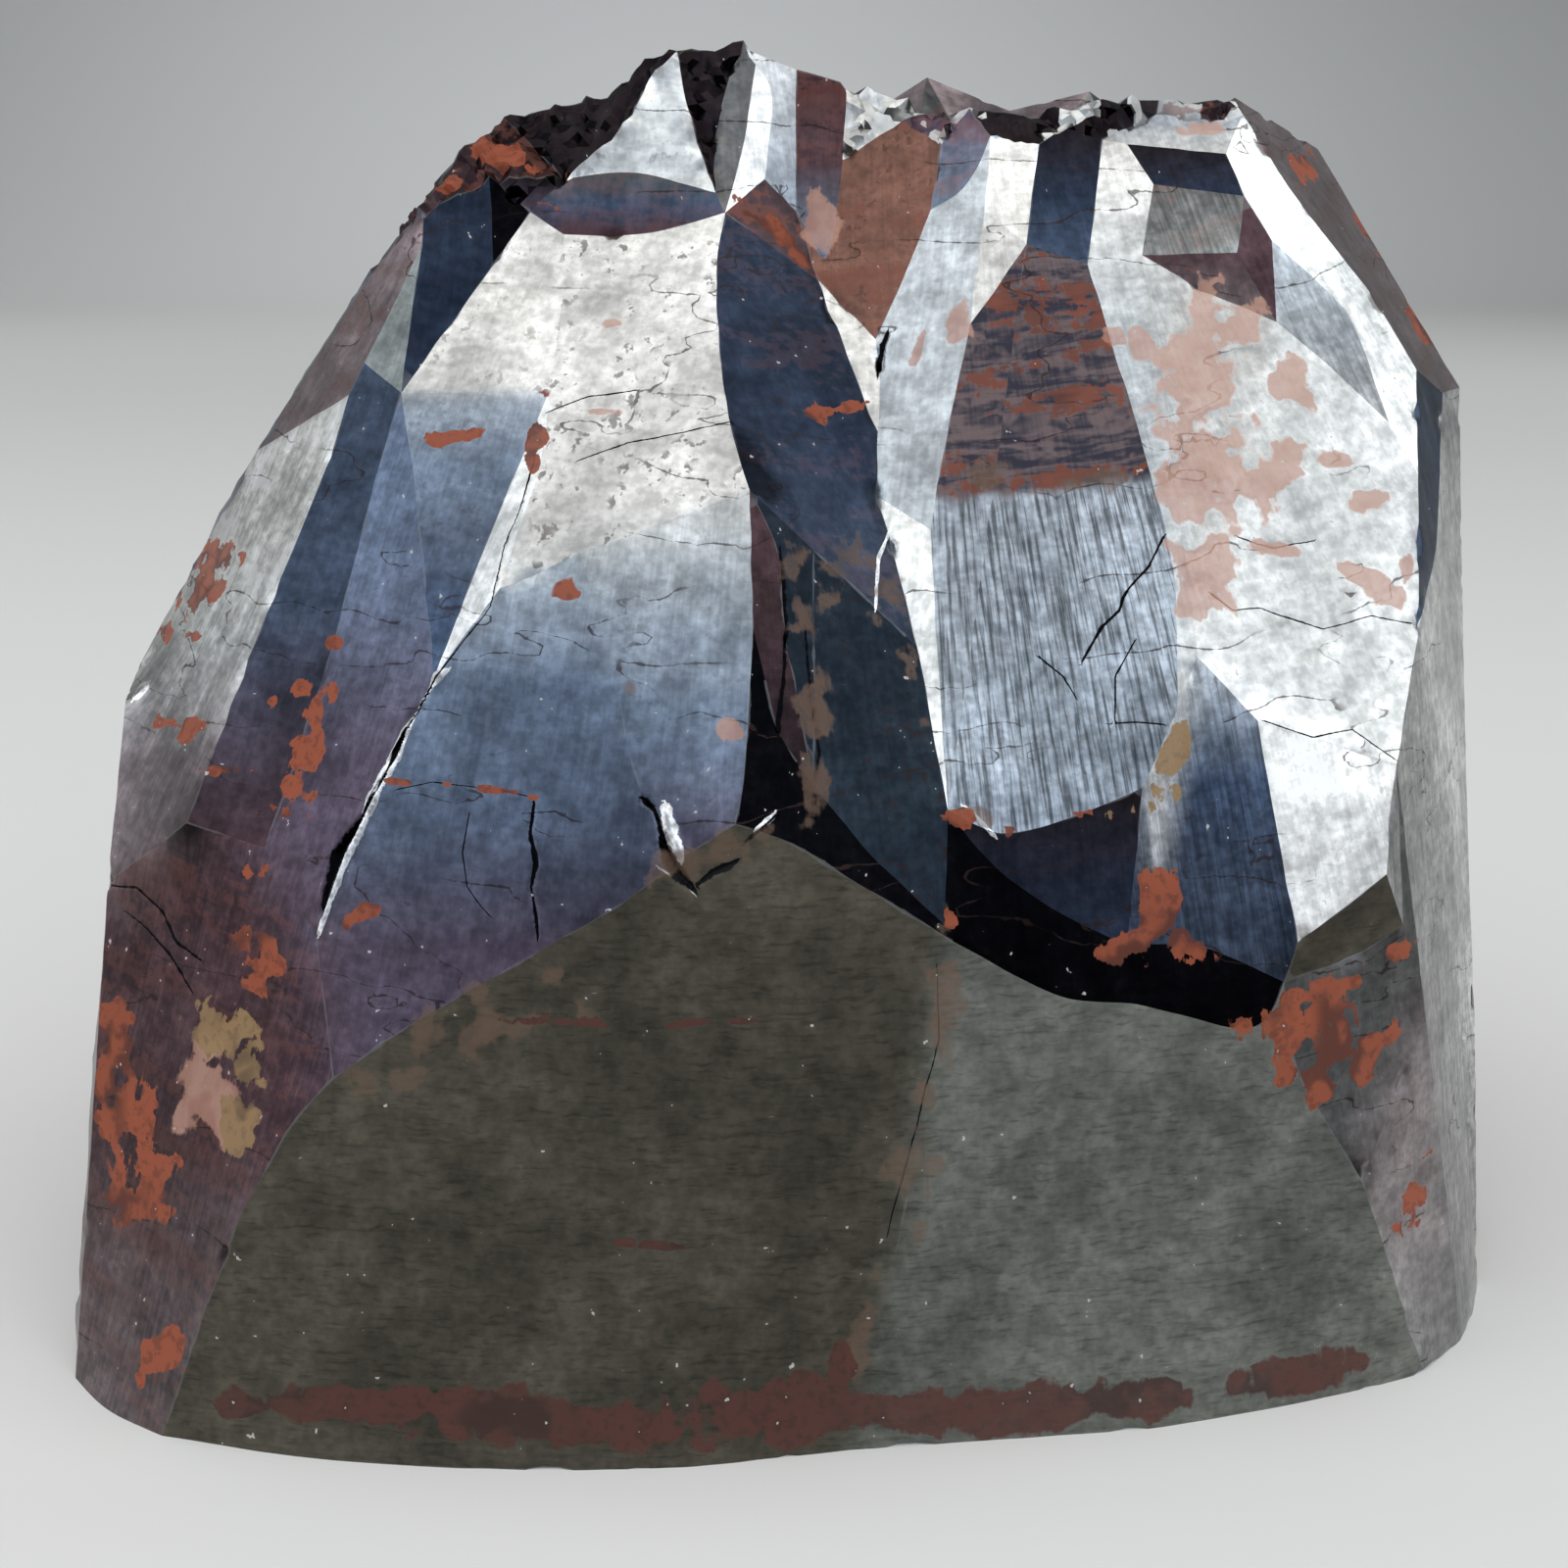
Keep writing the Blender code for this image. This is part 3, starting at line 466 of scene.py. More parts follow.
def solid_as_bmesh():
    """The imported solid, with its corners joined again."""
    body = bmesh.new()
    body.from_mesh(SOLID.data)
    bmesh.ops.remove_doubles(body, verts=body.verts[:], dist=0.001 * MM)
    body.normal_update()
    body.verts.ensure_lookup_table()
    body.faces.ensure_lookup_table()
    return body


def name_faces(body):
    """Give each face a facet number: named ones in front grow from their pixels."""
    layer = body.faces.layers.int.new("facet")
    tree = BVHTree.FromBMesh(body)
    seen = set()
    for face in body.faces:
        face[layer] = -1
        middle = face.calc_center_median()
        ray = (middle - EYE).normalized()
        if face.normal.dot(ray) > -0.02:
            continue
        hit = tree.ray_cast(EYE, ray)
        if hit[2] == face.index or (hit[0] - middle).length < 1.5 * MM:
            seen.add(face.index)
    pixels = pixel_of([face.calc_center_median() for face in body.faces])
    queue = []
    for number, (steps, rough, *spots) in enumerate(FACETS.values()):
        for x, y in spots:
            hit = tree.ray_cast(EYE, sight_line(x, y))
            if hit[2] is not None:
                heapq.heappush(queue, (0.0, hit[2], number, hit[2]))
    done = set()
    while queue:
        cost, index, number, seed = heapq.heappop(queue)
        if index in done:
            continue
        done.add(index)
        face = body.faces[index]
        face[layer] = number
        for edge in face.edges:
            for other in edge.link_faces:
                if other.index in done or other.index not in seen:
                    continue
                bend = math.degrees(edge.calc_face_angle(0.0))
                step = bend + 0.004 * float(np.linalg.norm(pixels[other.index] - pixels[seed]))
                heapq.heappush(queue, (cost + step, other.index, number, seed))
    return layer


def name_back(body, layer):
    """Number the faces that no pixel reached, flat groups together."""
    number = len(FACETS)
    for face in body.faces:
        if face[layer] >= 0:
            continue
        group = [face]
        face[layer] = number
        while group:
            one = group.pop()
            for edge in one.edges:
                for other in edge.link_faces:
                    if other[layer] < 0 and edge.calc_face_angle(0.0) < math.radians(6.0):
                        other[layer] = number
                        group.append(other)
        number += 1
    return number


def line_marks(pixels, lines):
    """Nearest line to each pixel: gap, signed gap in half widths, depth, and closeness."""
    count = len(pixels)
    nearest = np.full(count, 1e9)
    share_of_half = np.full(count, 9.0)
    depth_there = np.zeros(count)
    close = np.zeros(count)
    for depth, *line in lines.values():
        for (x, y, half), (next_x, next_y, next_half) in zip(line, line[1:]):
            along = np.array((next_x - x, next_y - y), float)
            away = pixels - np.array((x, y), float)
            share = np.clip(away @ along / (along @ along), 0.0, 1.0)
            gap = np.linalg.norm(away - share[:, None] * along, axis=1)
            side = np.where(away[:, 0] * along[1] > away[:, 1] * along[0], 1.0, -1.0)
            width = half + share * (next_half - half)
            closer = gap < nearest
            nearest[closer] = gap[closer]
            share_of_half[closer] = (side * gap / width)[closer]
            depth_there[closer] = depth
            close[closer] = ((width + LINE_REACH - gap) / LINE_FADE)[closer]
    return nearest, np.clip(share_of_half, -9.0, 9.0), depth_there, np.clip(close, 0.0, 1.0)


def edges_of(triangles):
    """Edges of the triangles, each once, and the numbers of the three edges of each triangle."""
    pairs = np.sort(np.concatenate((triangles[:, [0, 1]], triangles[:, [1, 2]],
                                    triangles[:, [2, 0]])), axis=1)
    span = int(triangles.max()) + 1
    keys, numbers = np.unique(pairs[:, 0] * span + pairs[:, 1], return_inverse=True)
    return np.stack((keys // span, keys % span), axis=1), numbers.reshape(3, -1).T


def split_triangles(places, triangles, facet, middles):
    """Divide triangles at the new middle points of their sides; -1 where a side has none."""
    made = []
    owners = []
    for turn in range(3):
        a, b, c = np.roll(triangles, -turn, axis=1).T
        ab, bc, ca = np.roll(middles, -turn, axis=1).T
        one = (ab >= 0) & (bc < 0) & (ca < 0)
        two = (ab >= 0) & (bc >= 0) & (ca < 0)
        to_a = np.linalg.norm(places[a] - places[bc], axis=1)
        to_c = np.linalg.norm(places[c] - places[ab], axis=1)
        for chosen, corners in (
            (one, (a, ab, c)), (one, (ab, b, c)), (two, (ab, b, bc)),
            (two & (to_a < to_c), (a, ab, bc)), (two & (to_a < to_c), (a, bc, c)),
            (two & (to_a >= to_c), (a, ab, c)), (two & (to_a >= to_c), (ab, bc, c)),
        ):
            made.append(np.stack(corners, axis=1)[chosen])
            owners.append(facet[chosen])
    a, b, c = triangles.T
    ab, bc, ca = middles.T
    whole = (middles < 0).all(axis=1)
    three = (middles >= 0).all(axis=1)
    for chosen, corners in ((whole, (a, b, c)), (three, (a, ab, ca)), (three, (ab, b, bc)),
                            (three, (ca, bc, c)), (three, (ab, bc, ca))):
        made.append(np.stack(corners, axis=1)[chosen])
        owners.append(facet[chosen])
    return np.concatenate(made), np.concatenate(owners)


def divide(places, triangles, facet, front_edge, back_edge, near_lines):
    """Divide edges that are too long, those beside the cracks finest."""
    for _ in range(DIVIDING_ROUNDS):
        edges, sides = edges_of(triangles)
        middle = (places[edges[:, 0]] + places[edges[:, 1]]) / 2
        length = np.linalg.norm(places[edges[:, 0]] - places[edges[:, 1]], axis=1)
        front = np.zeros(len(edges), bool)
        front[sides[facet < len(FACETS)]] = True
        limit = np.where(front, front_edge, back_edge)
        if near_lines:
            pixels = pixel_of(middle)
            gap = np.minimum(line_marks(pixels, CRACKS)[0], line_marks(pixels, FLAKES)[0])
            limit[front & (gap < LINE_BESIDE)] = LINE_EDGE
        too_long = length > limit * 1.35
        if not too_long.any():
            break
        number = np.full(len(edges), -1)
        number[too_long] = len(places) + np.arange(too_long.sum())
        places = np.concatenate((places, middle[too_long]))
        triangles, facet = split_triangles(places, triangles, facet, number[sides])
    return places, triangles, facet


def mean_of_neighbours(places, edges):
    """Mean place of the points that edges join to each point."""
    both = np.concatenate((edges, edges[:, ::-1]))
    count = np.bincount(both[:, 0], minlength=len(places))
    total = [np.bincount(both[:, 0], weights=places[both[:, 1], axis], minlength=len(places))
             for axis in range(3)]
    return np.stack(total, axis=1) / np.maximum(count, 1)[:, None]


def even_out(places, triangles, facet, border_rounds, rounds):
    """Smooth the inside of each facet; a border only rounds a little along itself."""
    edges, sides = edges_of(triangles)
    lowest = np.full(len(edges), facet.max())
    highest = np.zeros(len(edges), int)
    for side in sides.T:
        np.minimum.at(lowest, side, facet)
        np.maximum.at(highest, side, facet)
    border = edges[lowest != highest]
    border_edges = np.bincount(border.ravel(), minlength=len(places))
    along = border_edges == 2
    inside = border_edges == 0
    for _ in range(border_rounds):
        places[along] = (places[along] + mean_of_neighbours(places, border)[along]) / 2
    for _ in range(rounds):
        places[inside] += 0.6 * (mean_of_neighbours(places, edges) - places)[inside]


def edge_ends(mesh):
    ends = np.zeros(len(mesh.edges) * 2, np.int32)
    mesh.edges.foreach_get("vertices", ends)
    return ends.reshape(-1, 2)


def tree_of(places, numbers):
    """Search tree of some of the places."""
    tree = kdtree.KDTree(len(numbers))
    for number in numbers:
        tree.insert(places[number], int(number))
    tree.balance()
    return tree


def triangle_bends(mesh):
    """For each edge, the two triangles beside it and the cosine of the bend between them."""
    normals = np.zeros(len(mesh.polygons) * 3)
    mesh.polygons.foreach_get("normal", normals)
    normals = normals.reshape(-1, 3)
    loops = np.zeros(len(mesh.loops), np.int32)
    mesh.loops.foreach_get("edge_index", loops)
    pairs = (np.argsort(loops, kind="stable") // 3).reshape(-1, 2)
    return pairs, np.einsum("ij,ij->i", normals[pairs[:, 0]], normals[pairs[:, 1]])


def crest_chunks(places, crest):
    """Split the broken crest into tilted chunks: a push and a value of the chunk per vertex."""
    random = np.random.default_rng(7)
    inside = np.nonzero(crest)[0]
    seats = places[random.choice(inside, CREST_CHUNKS, replace=False)]
    tree = tree_of(seats, range(CREST_CHUNKS))
    nearest = np.array([tree.find(places[index])[1] for index in inside])
    slopes = CREST_SLOPE * random.uniform(-1.0, 1.0, (CREST_CHUNKS, 3))
    push, value = np.zeros((2, len(places)))
    push[inside] = np.einsum("ij,ij->i", places[inside] - seats[nearest], slopes[nearest])
    push = np.clip(push, -CREST_DEPTH, CREST_DEPTH)
    value[inside] = random.random(CREST_CHUNKS)[nearest]
    return push, value


def growth_noise(waves, way, radius):
    """Sum of waves over the direction and the distance from the growth centre."""
    along = Vector((0.0, 0.0, radius))
    return sum(share * noise.noise(way * around + along * onward) for around, onward, share in waves)


def space_noise(waves, place):
    return sum(share * noise.noise(place * turns) for turns, share in waves)


def relief(mesh, front, crest, even, gap, cracks, flakes):
    """Work the relief into the surface; returns cloud values and the values of the crest's chunks, which
    place its painted glints.
    """
    count = len(mesh.vertices)
    places = np.zeros(count * 3)
    mesh.vertices.foreach_get("co", places)
    places = places.reshape(-1, 3)
    normals = np.array([vert.normal[:] for vert in mesh.vertices])
    away = places - np.array(GROWTH_CENTRE)
    radius = np.linalg.norm(away, axis=1)
    ways = away / radius[:, None]
    push = np.zeros(count)
    clouds = np.zeros((count, 3))
    shift = np.zeros((count, 3))
    noise.seed_set(WANDER_SEED)
    for index in range(count):
        place = Vector(places[index])
        way = Vector(ways[index])
        flute = growth_noise(FLUTE_WAVES, way, radius[index])
        ring = growth_noise(RING_WAVES, way, radius[index])
        blotch = space_noise(BLOTCH_WAVES, place)
        clouds[index] = (blotch, ring, space_noise(PATCH_WAVES, place))
        if front[index]:
            if not even[index]:
                push[index] = FLUTE_DEPTH * flute * min(1.0, gap[index] / (0.5 * MM))
                push[index] += STEP_DEPTH * ring
            shift[index] = WANDER * noise.noise_vector(place * 700.0)
        else:
            broad = growth_noise(BROAD_WAVES, way, radius[index])
            push[index] = BACK_FLUTE_DEPTH * (0.5 * flute + broad) + BACK_ROUGHNESS * blotch
            push[index] *= min(1.0, 0.15 + gap[index] / (1.2 * MM))
        chip = noise.noise(place * 600.0) - CHIP_RARITY
        if chip > 0.0 and gap[index] < CHIP_REACH:
            push[index] -= CHIP_DEPTH * min(1.0, chip * 5.0) * (1.0 - gap[index] / CHIP_REACH)
    tilted, chunks = crest_chunks(places, crest)
    push += tilted
    for (_, share, depth, _), way_out in ((cracks, -1.0), (flakes, 1.0)):
        push += way_out * depth * np.clip(1.0 - np.abs(share), 0.0, 1.0) * front
    shift -= normals * np.einsum("ij,ij->i", normals, shift)[:, None]
    shift[:, 2] *= places[:, 2] > SOLID_LOW.z + 0.01 * MM
    places += normals * push[:, None] + shift
    places[:, 2] = np.maximum(places[:, 2], SOLID_LOW.z)
    mesh.vertices.foreach_set("co", places.ravel())
    return np.clip(clouds * 0.5 + 0.5, 0.0, 1.0), chunks


def stain_strength(pixels, ovals):
    """How deep each pixel lies inside the nearest oval: one in the middle, half at its rim."""
    best = np.zeros(len(pixels))
    for x, y, wide, high, tilt in ovals:
        tilt = math.radians(tilt)
        across = pixels[:, 0] - x
        down = pixels[:, 1] - y
        first = (across * math.cos(tilt) + down * math.sin(tilt)) / wide
        second = (-across * math.sin(tilt) + down * math.cos(tilt)) / high
        best = np.maximum(best, 1.0 - 0.5 * np.hypot(first, second))
    return np.clip(best, 0.0, 1.0)


def fibre_places(places, triangles, facet, count):
    """For each corner, in mm: place across the fibres, and along them from their centre."""
    corners = places[triangles]
    normal = np.cross(corners[:, 1] - corners[:, 0], corners[:, 2] - corners[:, 0])
    area = np.linalg.norm(normal, axis=1)
    middle = corners.mean(axis=1) * area[:, None]
    facet_area = np.maximum(np.bincount(facet, weights=area, minlength=count), 1e-15)
    facet_normal = np.stack([np.bincount(facet, weights=normal[:, axis], minlength=count)
                             for axis in range(3)], axis=1)
    facet_normal /= np.maximum(np.linalg.norm(facet_normal, axis=1), 1e-15)[:, None]
    facet_middle = np.stack([np.bincount(facet, weights=middle[:, axis], minlength=count)
                             for axis in range(3)], axis=1) / facet_area[:, None]
    to_centre = np.array(GROWTH_CENTRE) - facet_middle
    lift = np.einsum("ij,ij->i", to_centre, facet_normal)
    root = np.array(GROWTH_CENTRE) - lift[:, None] * facet_normal
    down = facet_middle - root
    reach = np.linalg.norm(down, axis=1)
    down /= np.maximum(reach, 1e-15)[:, None]
    across = np.cross(facet_normal, down)
    owner = np.repeat(facet, 3)
    away = corners.reshape(-1, 3) - root[owner]
    along = np.einsum("ij,ij->i", away, down[owner])
    aside = np.einsum("ij,ij->i", away, across[owner])
    angle = np.arctan2(aside, along)
    return angle * reach[owner] / MM, np.hypot(along, aside) / MM


def facet_tables(count):
    """Per facet: evenly spaced tones with roughness, nature of the surface, band strength."""
    random = np.random.default_rng(4)
    rows = np.linspace(0.0, 1.0, TONE_ROWS)
    tones = np.zeros((count, TONE_ROWS, 4))
    nature = np.zeros((count, 4))
    bands = np.zeros(count)
    fibrous = np.full(count, BACK_FIBROUS)
    names = list(FACETS)
    for number in range(count):
        if number < len(names):
            name = names[number]
            steps, rough = FACETS[name][:2]
            nature[number] = (DULL_FACETS.get(name, 1.0), name in FAN_FACETS,
                              name in GRAIN_FACETS, PITTED_FACETS.get(name, PLAIN_PITTED))
            bands[number] = BANDED_FACETS.get(name, 0.0)
            fibrous[number] = FIBROUS_FACETS.get(name, PLAIN_FIBROUS)
        else:
            steps = BACK_TONES[random.integers(len(BACK_TONES))]
            rough = BACK_GLOSS
            nature[number] = BACK_NATURE
            bands[number] = BACK_BANDS
        steps = np.array([REFLECTED_TONES[step] for step in steps.split()])
        along = np.linspace(0.0, 1.0, len(steps)) if len(steps) > 1 else [0.5]
        for channel in range(3):
            tones[number, :, channel] = np.interp(rows, along, steps[:, channel])
        tones[number, :, 3] = rough
    return tones, nature, bands, fibrous


def tone_at(tones, facet, share):
    """Tone of each facet at its share of the way down."""
    place = share * (TONE_ROWS - 1)
    row = np.minimum(place.astype(int), TONE_ROWS - 2)
    rest = (place - row)[:, None]
    return tones[facet, row] * (1.0 - rest) + tones[facet, row + 1] * rest


def soften(places, owner, corners, share_down, tones, tone):
    """Blend the tones of facets that pass softly into each other."""
    names = list(FACETS)
    blended_tone = tone.copy()
    for (one, two), width in SOFT_PAIRS.items():
        sides = [owner == names.index(name) for name in (one, two)]
        shared = np.intersect1d(corners[sides[0]], corners[sides[1]])
        if not len(shared):
            continue
        tree = tree_of(places, shared)
        for side, other in ((0, two), (1, one)):
            here = np.nonzero(sides[side])[0]
            points, back = np.unique(corners[here], return_inverse=True)
            far = np.array([tree.find(places[index])[2] for index in points])
            inside = np.clip(far / (width * MM), 0.0, 1.0)
            part = (0.5 - 0.5 * inside * (2.0 - inside))[back, None]
            other_number = np.full(len(here), names.index(other))
            beyond = tone_at(tones, other_number, share_down(other_number, corners[here]))
            blended_tone[here] += part * (beyond - tone[here])
    return blended_tone


def store(mesh, name, kind, values):
    made = mesh.attributes.new(name, "FLOAT_COLOR", kind)
    made.data.foreach_set("color", values.astype(np.float32).ravel())


def paint(mesh, triangles, facet, count, gap, cracks, flakes, clouds, chunks, pixels, front):
    """Keep tones, nature, stains and marks on the mesh for the material."""
    places = np.array([vert.co[:] for vert in mesh.vertices])
    corners = triangles.ravel()
    owner = np.repeat(facet, 3)
    height = pixels[:, 1]
    top_row = np.full(count, 1e9)
    foot_row = np.full(count, -1e9)
    np.minimum.at(top_row, owner, height[corners])
    np.maximum.at(foot_row, owner, height[corners])

    def share_down(number, vertex):
        share = (height[vertex] - top_row[number]) / (foot_row[number] - top_row[number] + 1.0)
        return np.clip(share, 0.0, 1.0)

    tones, nature, bands, fibrous = facet_tables(count)
    # The tones carry painted reflection and painted shade, changing from the top of each facet to its
    # foot
    tone = tone_at(tones, owner, share_down(owner, corners))
    store(mesh, "tone", "CORNER", soften(places, owner, corners, share_down, tones, tone))
    store(mesh, "nature", "CORNER", nature[owner])
    stains = {name: stain_strength(pixels, ovals) * front for name, ovals in STAINS.items()}
    painted_stains = [stains[name] for name in ("red", "pink", "limonite", "brick")]
    store(mesh, "stain", "POINT", np.stack(painted_stains, axis=1))
    store(mesh, "cloud", "POINT", np.column_stack((clouds, stains["earth"])))
    lines = []
    for _, share, _, close in (cracks, flakes):
        lines += [share, close * front]
    store(mesh, "lines", "POINT", np.stack(lines, axis=1))
    store(mesh, "marks", "CORNER", np.stack((np.minimum(gap / MM, 1.0)[corners], bands[owner],
                                             hair_cracks(places)[corners], fibrous[owner]), axis=1))
    across, along = fibre_places(places, triangles, facet, count)
    # Values of the crest's chunks, for their painted glints
    chips = chunks[corners] * np.isin(owner, facet_numbers(GLINTING_CREST))
    store(mesh, "fibre", "CORNER", np.stack((across, along, owner * FACET_SHIFT, chips), axis=1))


def hair_cracks(places):
    """Distance in mm, with its side, from each place to fine cracks across the growth."""
    values = []
    for shift in np.vstack((np.zeros(3), np.eye(3) * HAIR_STEP)):
        turned = [Vector(place) for place in (places + shift) * HAIR_TURNS]
        values.append([noise.noise(place) + 0.22 * noise.noise(place * 5.0) for place in turned])
    values = np.array(values)
    slope = np.linalg.norm(values[1:] - values[0], axis=0) / HAIR_STEP + 1.0
    return np.clip(values[0] / slope / MM, -1.0, 1.0)


def build_fragment():
    body = solid_as_bmesh()
    layer = name_faces(body)
    count = name_back(body, layer)
    places = np.array([vert.co[:] for vert in body.verts])
    triangles = np.array([[vert.index for vert in face.verts] for face in body.faces])
    facet = np.array([face[layer] for face in body.faces])
    body.free()
    for number, (front_edge, back_edge, border_rounds, rounds) in enumerate(STAGES):
        last = number == len(STAGES) - 1
        places, triangles, facet = divide(places, triangles, facet, front_edge, back_edge, last)
        even_out(places, triangles, facet, border_rounds, rounds)
    mesh = bpy.data.meshes.new("fragment")
    mesh.from_pydata(places.tolist(), [], triangles.tolist())
    pairs, bend = triangle_bends(mesh)
    sharp = (facet[pairs[:, 0]] != facet[pairs[:, 1]]) & (bend < math.cos(SHARP_BEND))
    tree = tree_of(places, np.unique(edge_ends(mesh)[sharp]))
    gap = np.array([tree.find(place)[2] for place in places])
    front, crest, even = np.zeros((3, len(places)), bool)
    front[triangles[facet < len(FACETS)]] = True
    crest[triangles[np.isin(facet, facet_numbers(CREST_FACETS))]] = True
    even[triangles[np.isin(facet, facet_numbers(GRAIN_FACETS))]] = True
    pixels = pixel_of(places)
    cracks = line_marks(pixels, CRACKS)
    flakes = line_marks(pixels, FLAKES)
    clouds, chunks = relief(mesh, front, crest, even, gap, cracks, flakes)
    mesh.update()
    in_crest = crest[edge_ends(mesh)].all(axis=1)
    sharp |= in_crest & (triangle_bends(mesh)[1] < math.cos(CREST_BEND))
    mesh.shade_smooth()
    edge_marks = mesh.attributes.new("sharp_edge", "BOOLEAN", "EDGE")
    edge_marks.data.foreach_set("value", sharp)
    paint(mesh, triangles, facet, count, gap, cracks, flakes, clouds, chunks, pixels, front)
    return mesh


# The material

def add_node(tree, kind, sockets=None, **settings):
    """Add a node; a socket value is another node's output or a plain value."""
    node = tree.nodes.new(kind)
    for name, value in settings.items():
        setattr(node, name, value)
    for name, value in (sockets or {}).items():
        if isinstance(value, bpy.types.NodeSocket):
            tree.links.new(value, node.inputs[name])
        else:
            node.inputs[name].default_value = value
    return node


def maths(tree, operation, one, two=0.0, three=0.0):
    values = {0: one, 1: two, 2: three}
    return add_node(tree, "ShaderNodeMath", values, operation=operation).outputs[0]


def vector_maths(tree, operation, one, two):
    return add_node(tree, "ShaderNodeVectorMath", {0: one, 1: two}, operation=operation).outputs[0]


def ramped(tree, value, low, high, first=0.0, last=1.0):
    """Smooth change from first to last as the value goes from low to high."""
    node = add_node(tree, "ShaderNodeMapRange", {
        "Value": value, "From Min": low, "From Max": high, "To Min": first, "To Max": last,
    }, interpolation_type="SMOOTHSTEP")
    return node.outputs["Result"]


def blended(tree, share, one, two, blend="MIX"):
    """Mix of two colours."""
    node = add_node(tree, "ShaderNodeMix", data_type="RGBA", blend_type=blend)
    for index, value in ((0, share), (6, one), (7, two)):
        if isinstance(value, bpy.types.NodeSocket):
            tree.links.new(value, node.inputs[index])
        elif index:
            node.inputs[index].default_value = (*value, 1.0)
        else:
            node.inputs[index].default_value = value
    return node.outputs[2]


def times(tree, one, two):
    return maths(tree, "MULTIPLY", one, two)


def plus(tree, one, two):
    return maths(tree, "ADD", one, two)


def multiplied(tree, colour, factor):
    return blended(tree, 1.0, colour, factor, "MULTIPLY")


def noisy(tree, vector, scale, detail=2.0, rough=0.6):
    sockets = {"Vector": vector, "Scale": scale, "Detail": detail, "Roughness": rough}
    return add_node(tree, "ShaderNodeTexNoise", sockets).outputs["Fac"]


def painted(tree, name):
    """Channels of a painted attribute."""
    node = add_node(tree, "ShaderNodeAttribute", attribute_name=name)
    split = add_node(tree, "ShaderNodeSeparateColor", {"Color": node.outputs["Color"]})
    return (node.outputs["Color"], split.outputs[0], split.outputs[1], split.outputs[2],
            node.outputs["Alpha"])


def surface_inputs(tree):
    """Values painted on the mesh, and the patterns that several looks share."""
    at = SimpleNamespace()
    at.place = add_node(tree, "ShaderNodeTexCoord").outputs["Object"]
    fibre_place, *_, at.chip = painted(tree, "fibre")
    at.tone, *_, at.gloss = painted(tree, "tone")
    _, at.metal, at.fan, at.grain, at.pitted = painted(tree, "nature")
    _, at.red, at.pink, at.limonite, at.brick = painted(tree, "stain")
    clouds, at.blotch, at.ring, at.patch, at.earth = painted(tree, "cloud")
    _, at.edge, at.banded, at.hair, at.fibrous = painted(tree, "marks")
    _, at.crack, at.crack_near, at.flake, at.flake_near = painted(tree, "lines")
    at.even = maths(tree, "SUBTRACT", 1.0, at.grain)
    at.fine = noisy(tree, at.place, FINE_SCALE)
    at.ragged = maths(tree, "SUBTRACT", at.fine, 0.5)
    at.fibres = noisy(tree, vector_maths(tree, "MULTIPLY", fibre_place, FIBRE_SCALE), 1.0, 2.0, 0.62)
    wave = vector_maths(tree, "MULTIPLY", clouds, (1.5, 1.5, 1.5))
    level = vector_maths(tree, "MULTIPLY", at.place, GRAIN_SCALE)
    thin = vector_maths(tree, "MULTIPLY", fibre_place, LAYER_SCALE)
    layer_place = vector_maths(tree, "ADD", blended(tree, at.grain, thin, level), wave)
    at.layers = noisy(tree, layer_place, 1.0)
    return at


def metal_colour(tree, at):
    """The facets' tones, with their painted reflection and shade, fibres, thin layers, mottling and
    painted glints on chunks of the crest.
    """
    streak = times(tree, ramped(tree, at.fibres, 0.3, 0.7, 0.70, 1.26),
                   ramped(tree, at.fine, 0.3, 0.7, 0.90, 1.10))
    colour = multiplied(tree, at.tone, blended(tree, at.fibrous, PLAIN, streak))
    colour = multiplied(tree, colour, ramped(tree, at.fine, 0.3, 0.7, 0.84, 1.16))
    # Painted glints on some chunks of the crest
    colour = blended(tree, ramped(tree, at.chip, 0.62, 0.68, 0.0, 0.9), colour, CHUNK_GLINT)
    colour = multiplied(tree, colour, ramped(tree, at.blotch, 0.1, 0.9, 0.74, 1.22))
    mottle = times(tree, ramped(tree, at.patch, 0.25, 0.75, 0.86, 1.14),
                   ramped(tree, at.layers, 0.25, 0.75, 0.90, 1.10))
    return multiplied(tree, colour, mottle)


def fan_colour(tree, at, colour, fan_radius):
    """The big fan: thin dark and red layers above a line of growth, brushed metal below it."""
    away = vector_maths(tree, "SUBTRACT", at.place, tuple(GROWTH_CENTRE))
    radius = add_node(tree, "ShaderNodeVectorMath", {0: away}, operation="LENGTH").outputs["Value"]
    warped = plus(tree, radius, times(tree, at.patch, 0.4 * MM))
    above = ramped(tree, warped, fan_radius - 0.2 * MM, fan_radius + 0.4 * MM, 1.0, 0.0)
    above = times(tree, above, at.fan)
    layered = plus(tree, at.layers, times(tree, at.fibres, 0.2))
    layered = blended(tree, ramped(tree, layered, 0.45, 0.72), DARK_LAYER, PALE_LAYER)
    colour = blended(tree, above, colour, layered)
    brushed = blended(tree, maths(tree, "SUBTRACT", at.fan, above), PLAIN,
                      ramped(tree, at.fibres, 0.34, 0.54, 0.52, 1.08))
    return multiplied(tree, colour, brushed), above


def banded_colour(tree, at, colour, above):
    """Rusty growth bands, and the dark grain of the olive faces."""
    frayed = plus(tree, times(tree, at.ring, 0.5), times(tree, at.layers, 0.5))
    frayed = plus(tree, frayed, times(tree, at.ragged, 0.5))
    rings = times(tree, ramped(tree, frayed, 0.50, 0.57), maths(tree, "MAXIMUM", above, at.banded))
    rusty = blended(tree, at.patch, RUST_LIGHT, RUST_DARK)
    colour = blended(tree, times(tree, rings, 0.8), colour, rusty)
    grained = blended(tree, at.grain, PLAIN, ramped(tree, at.layers, 0.30, 0.46, 0.78, 1.04))
    return multiplied(tree, colour, grained), rings


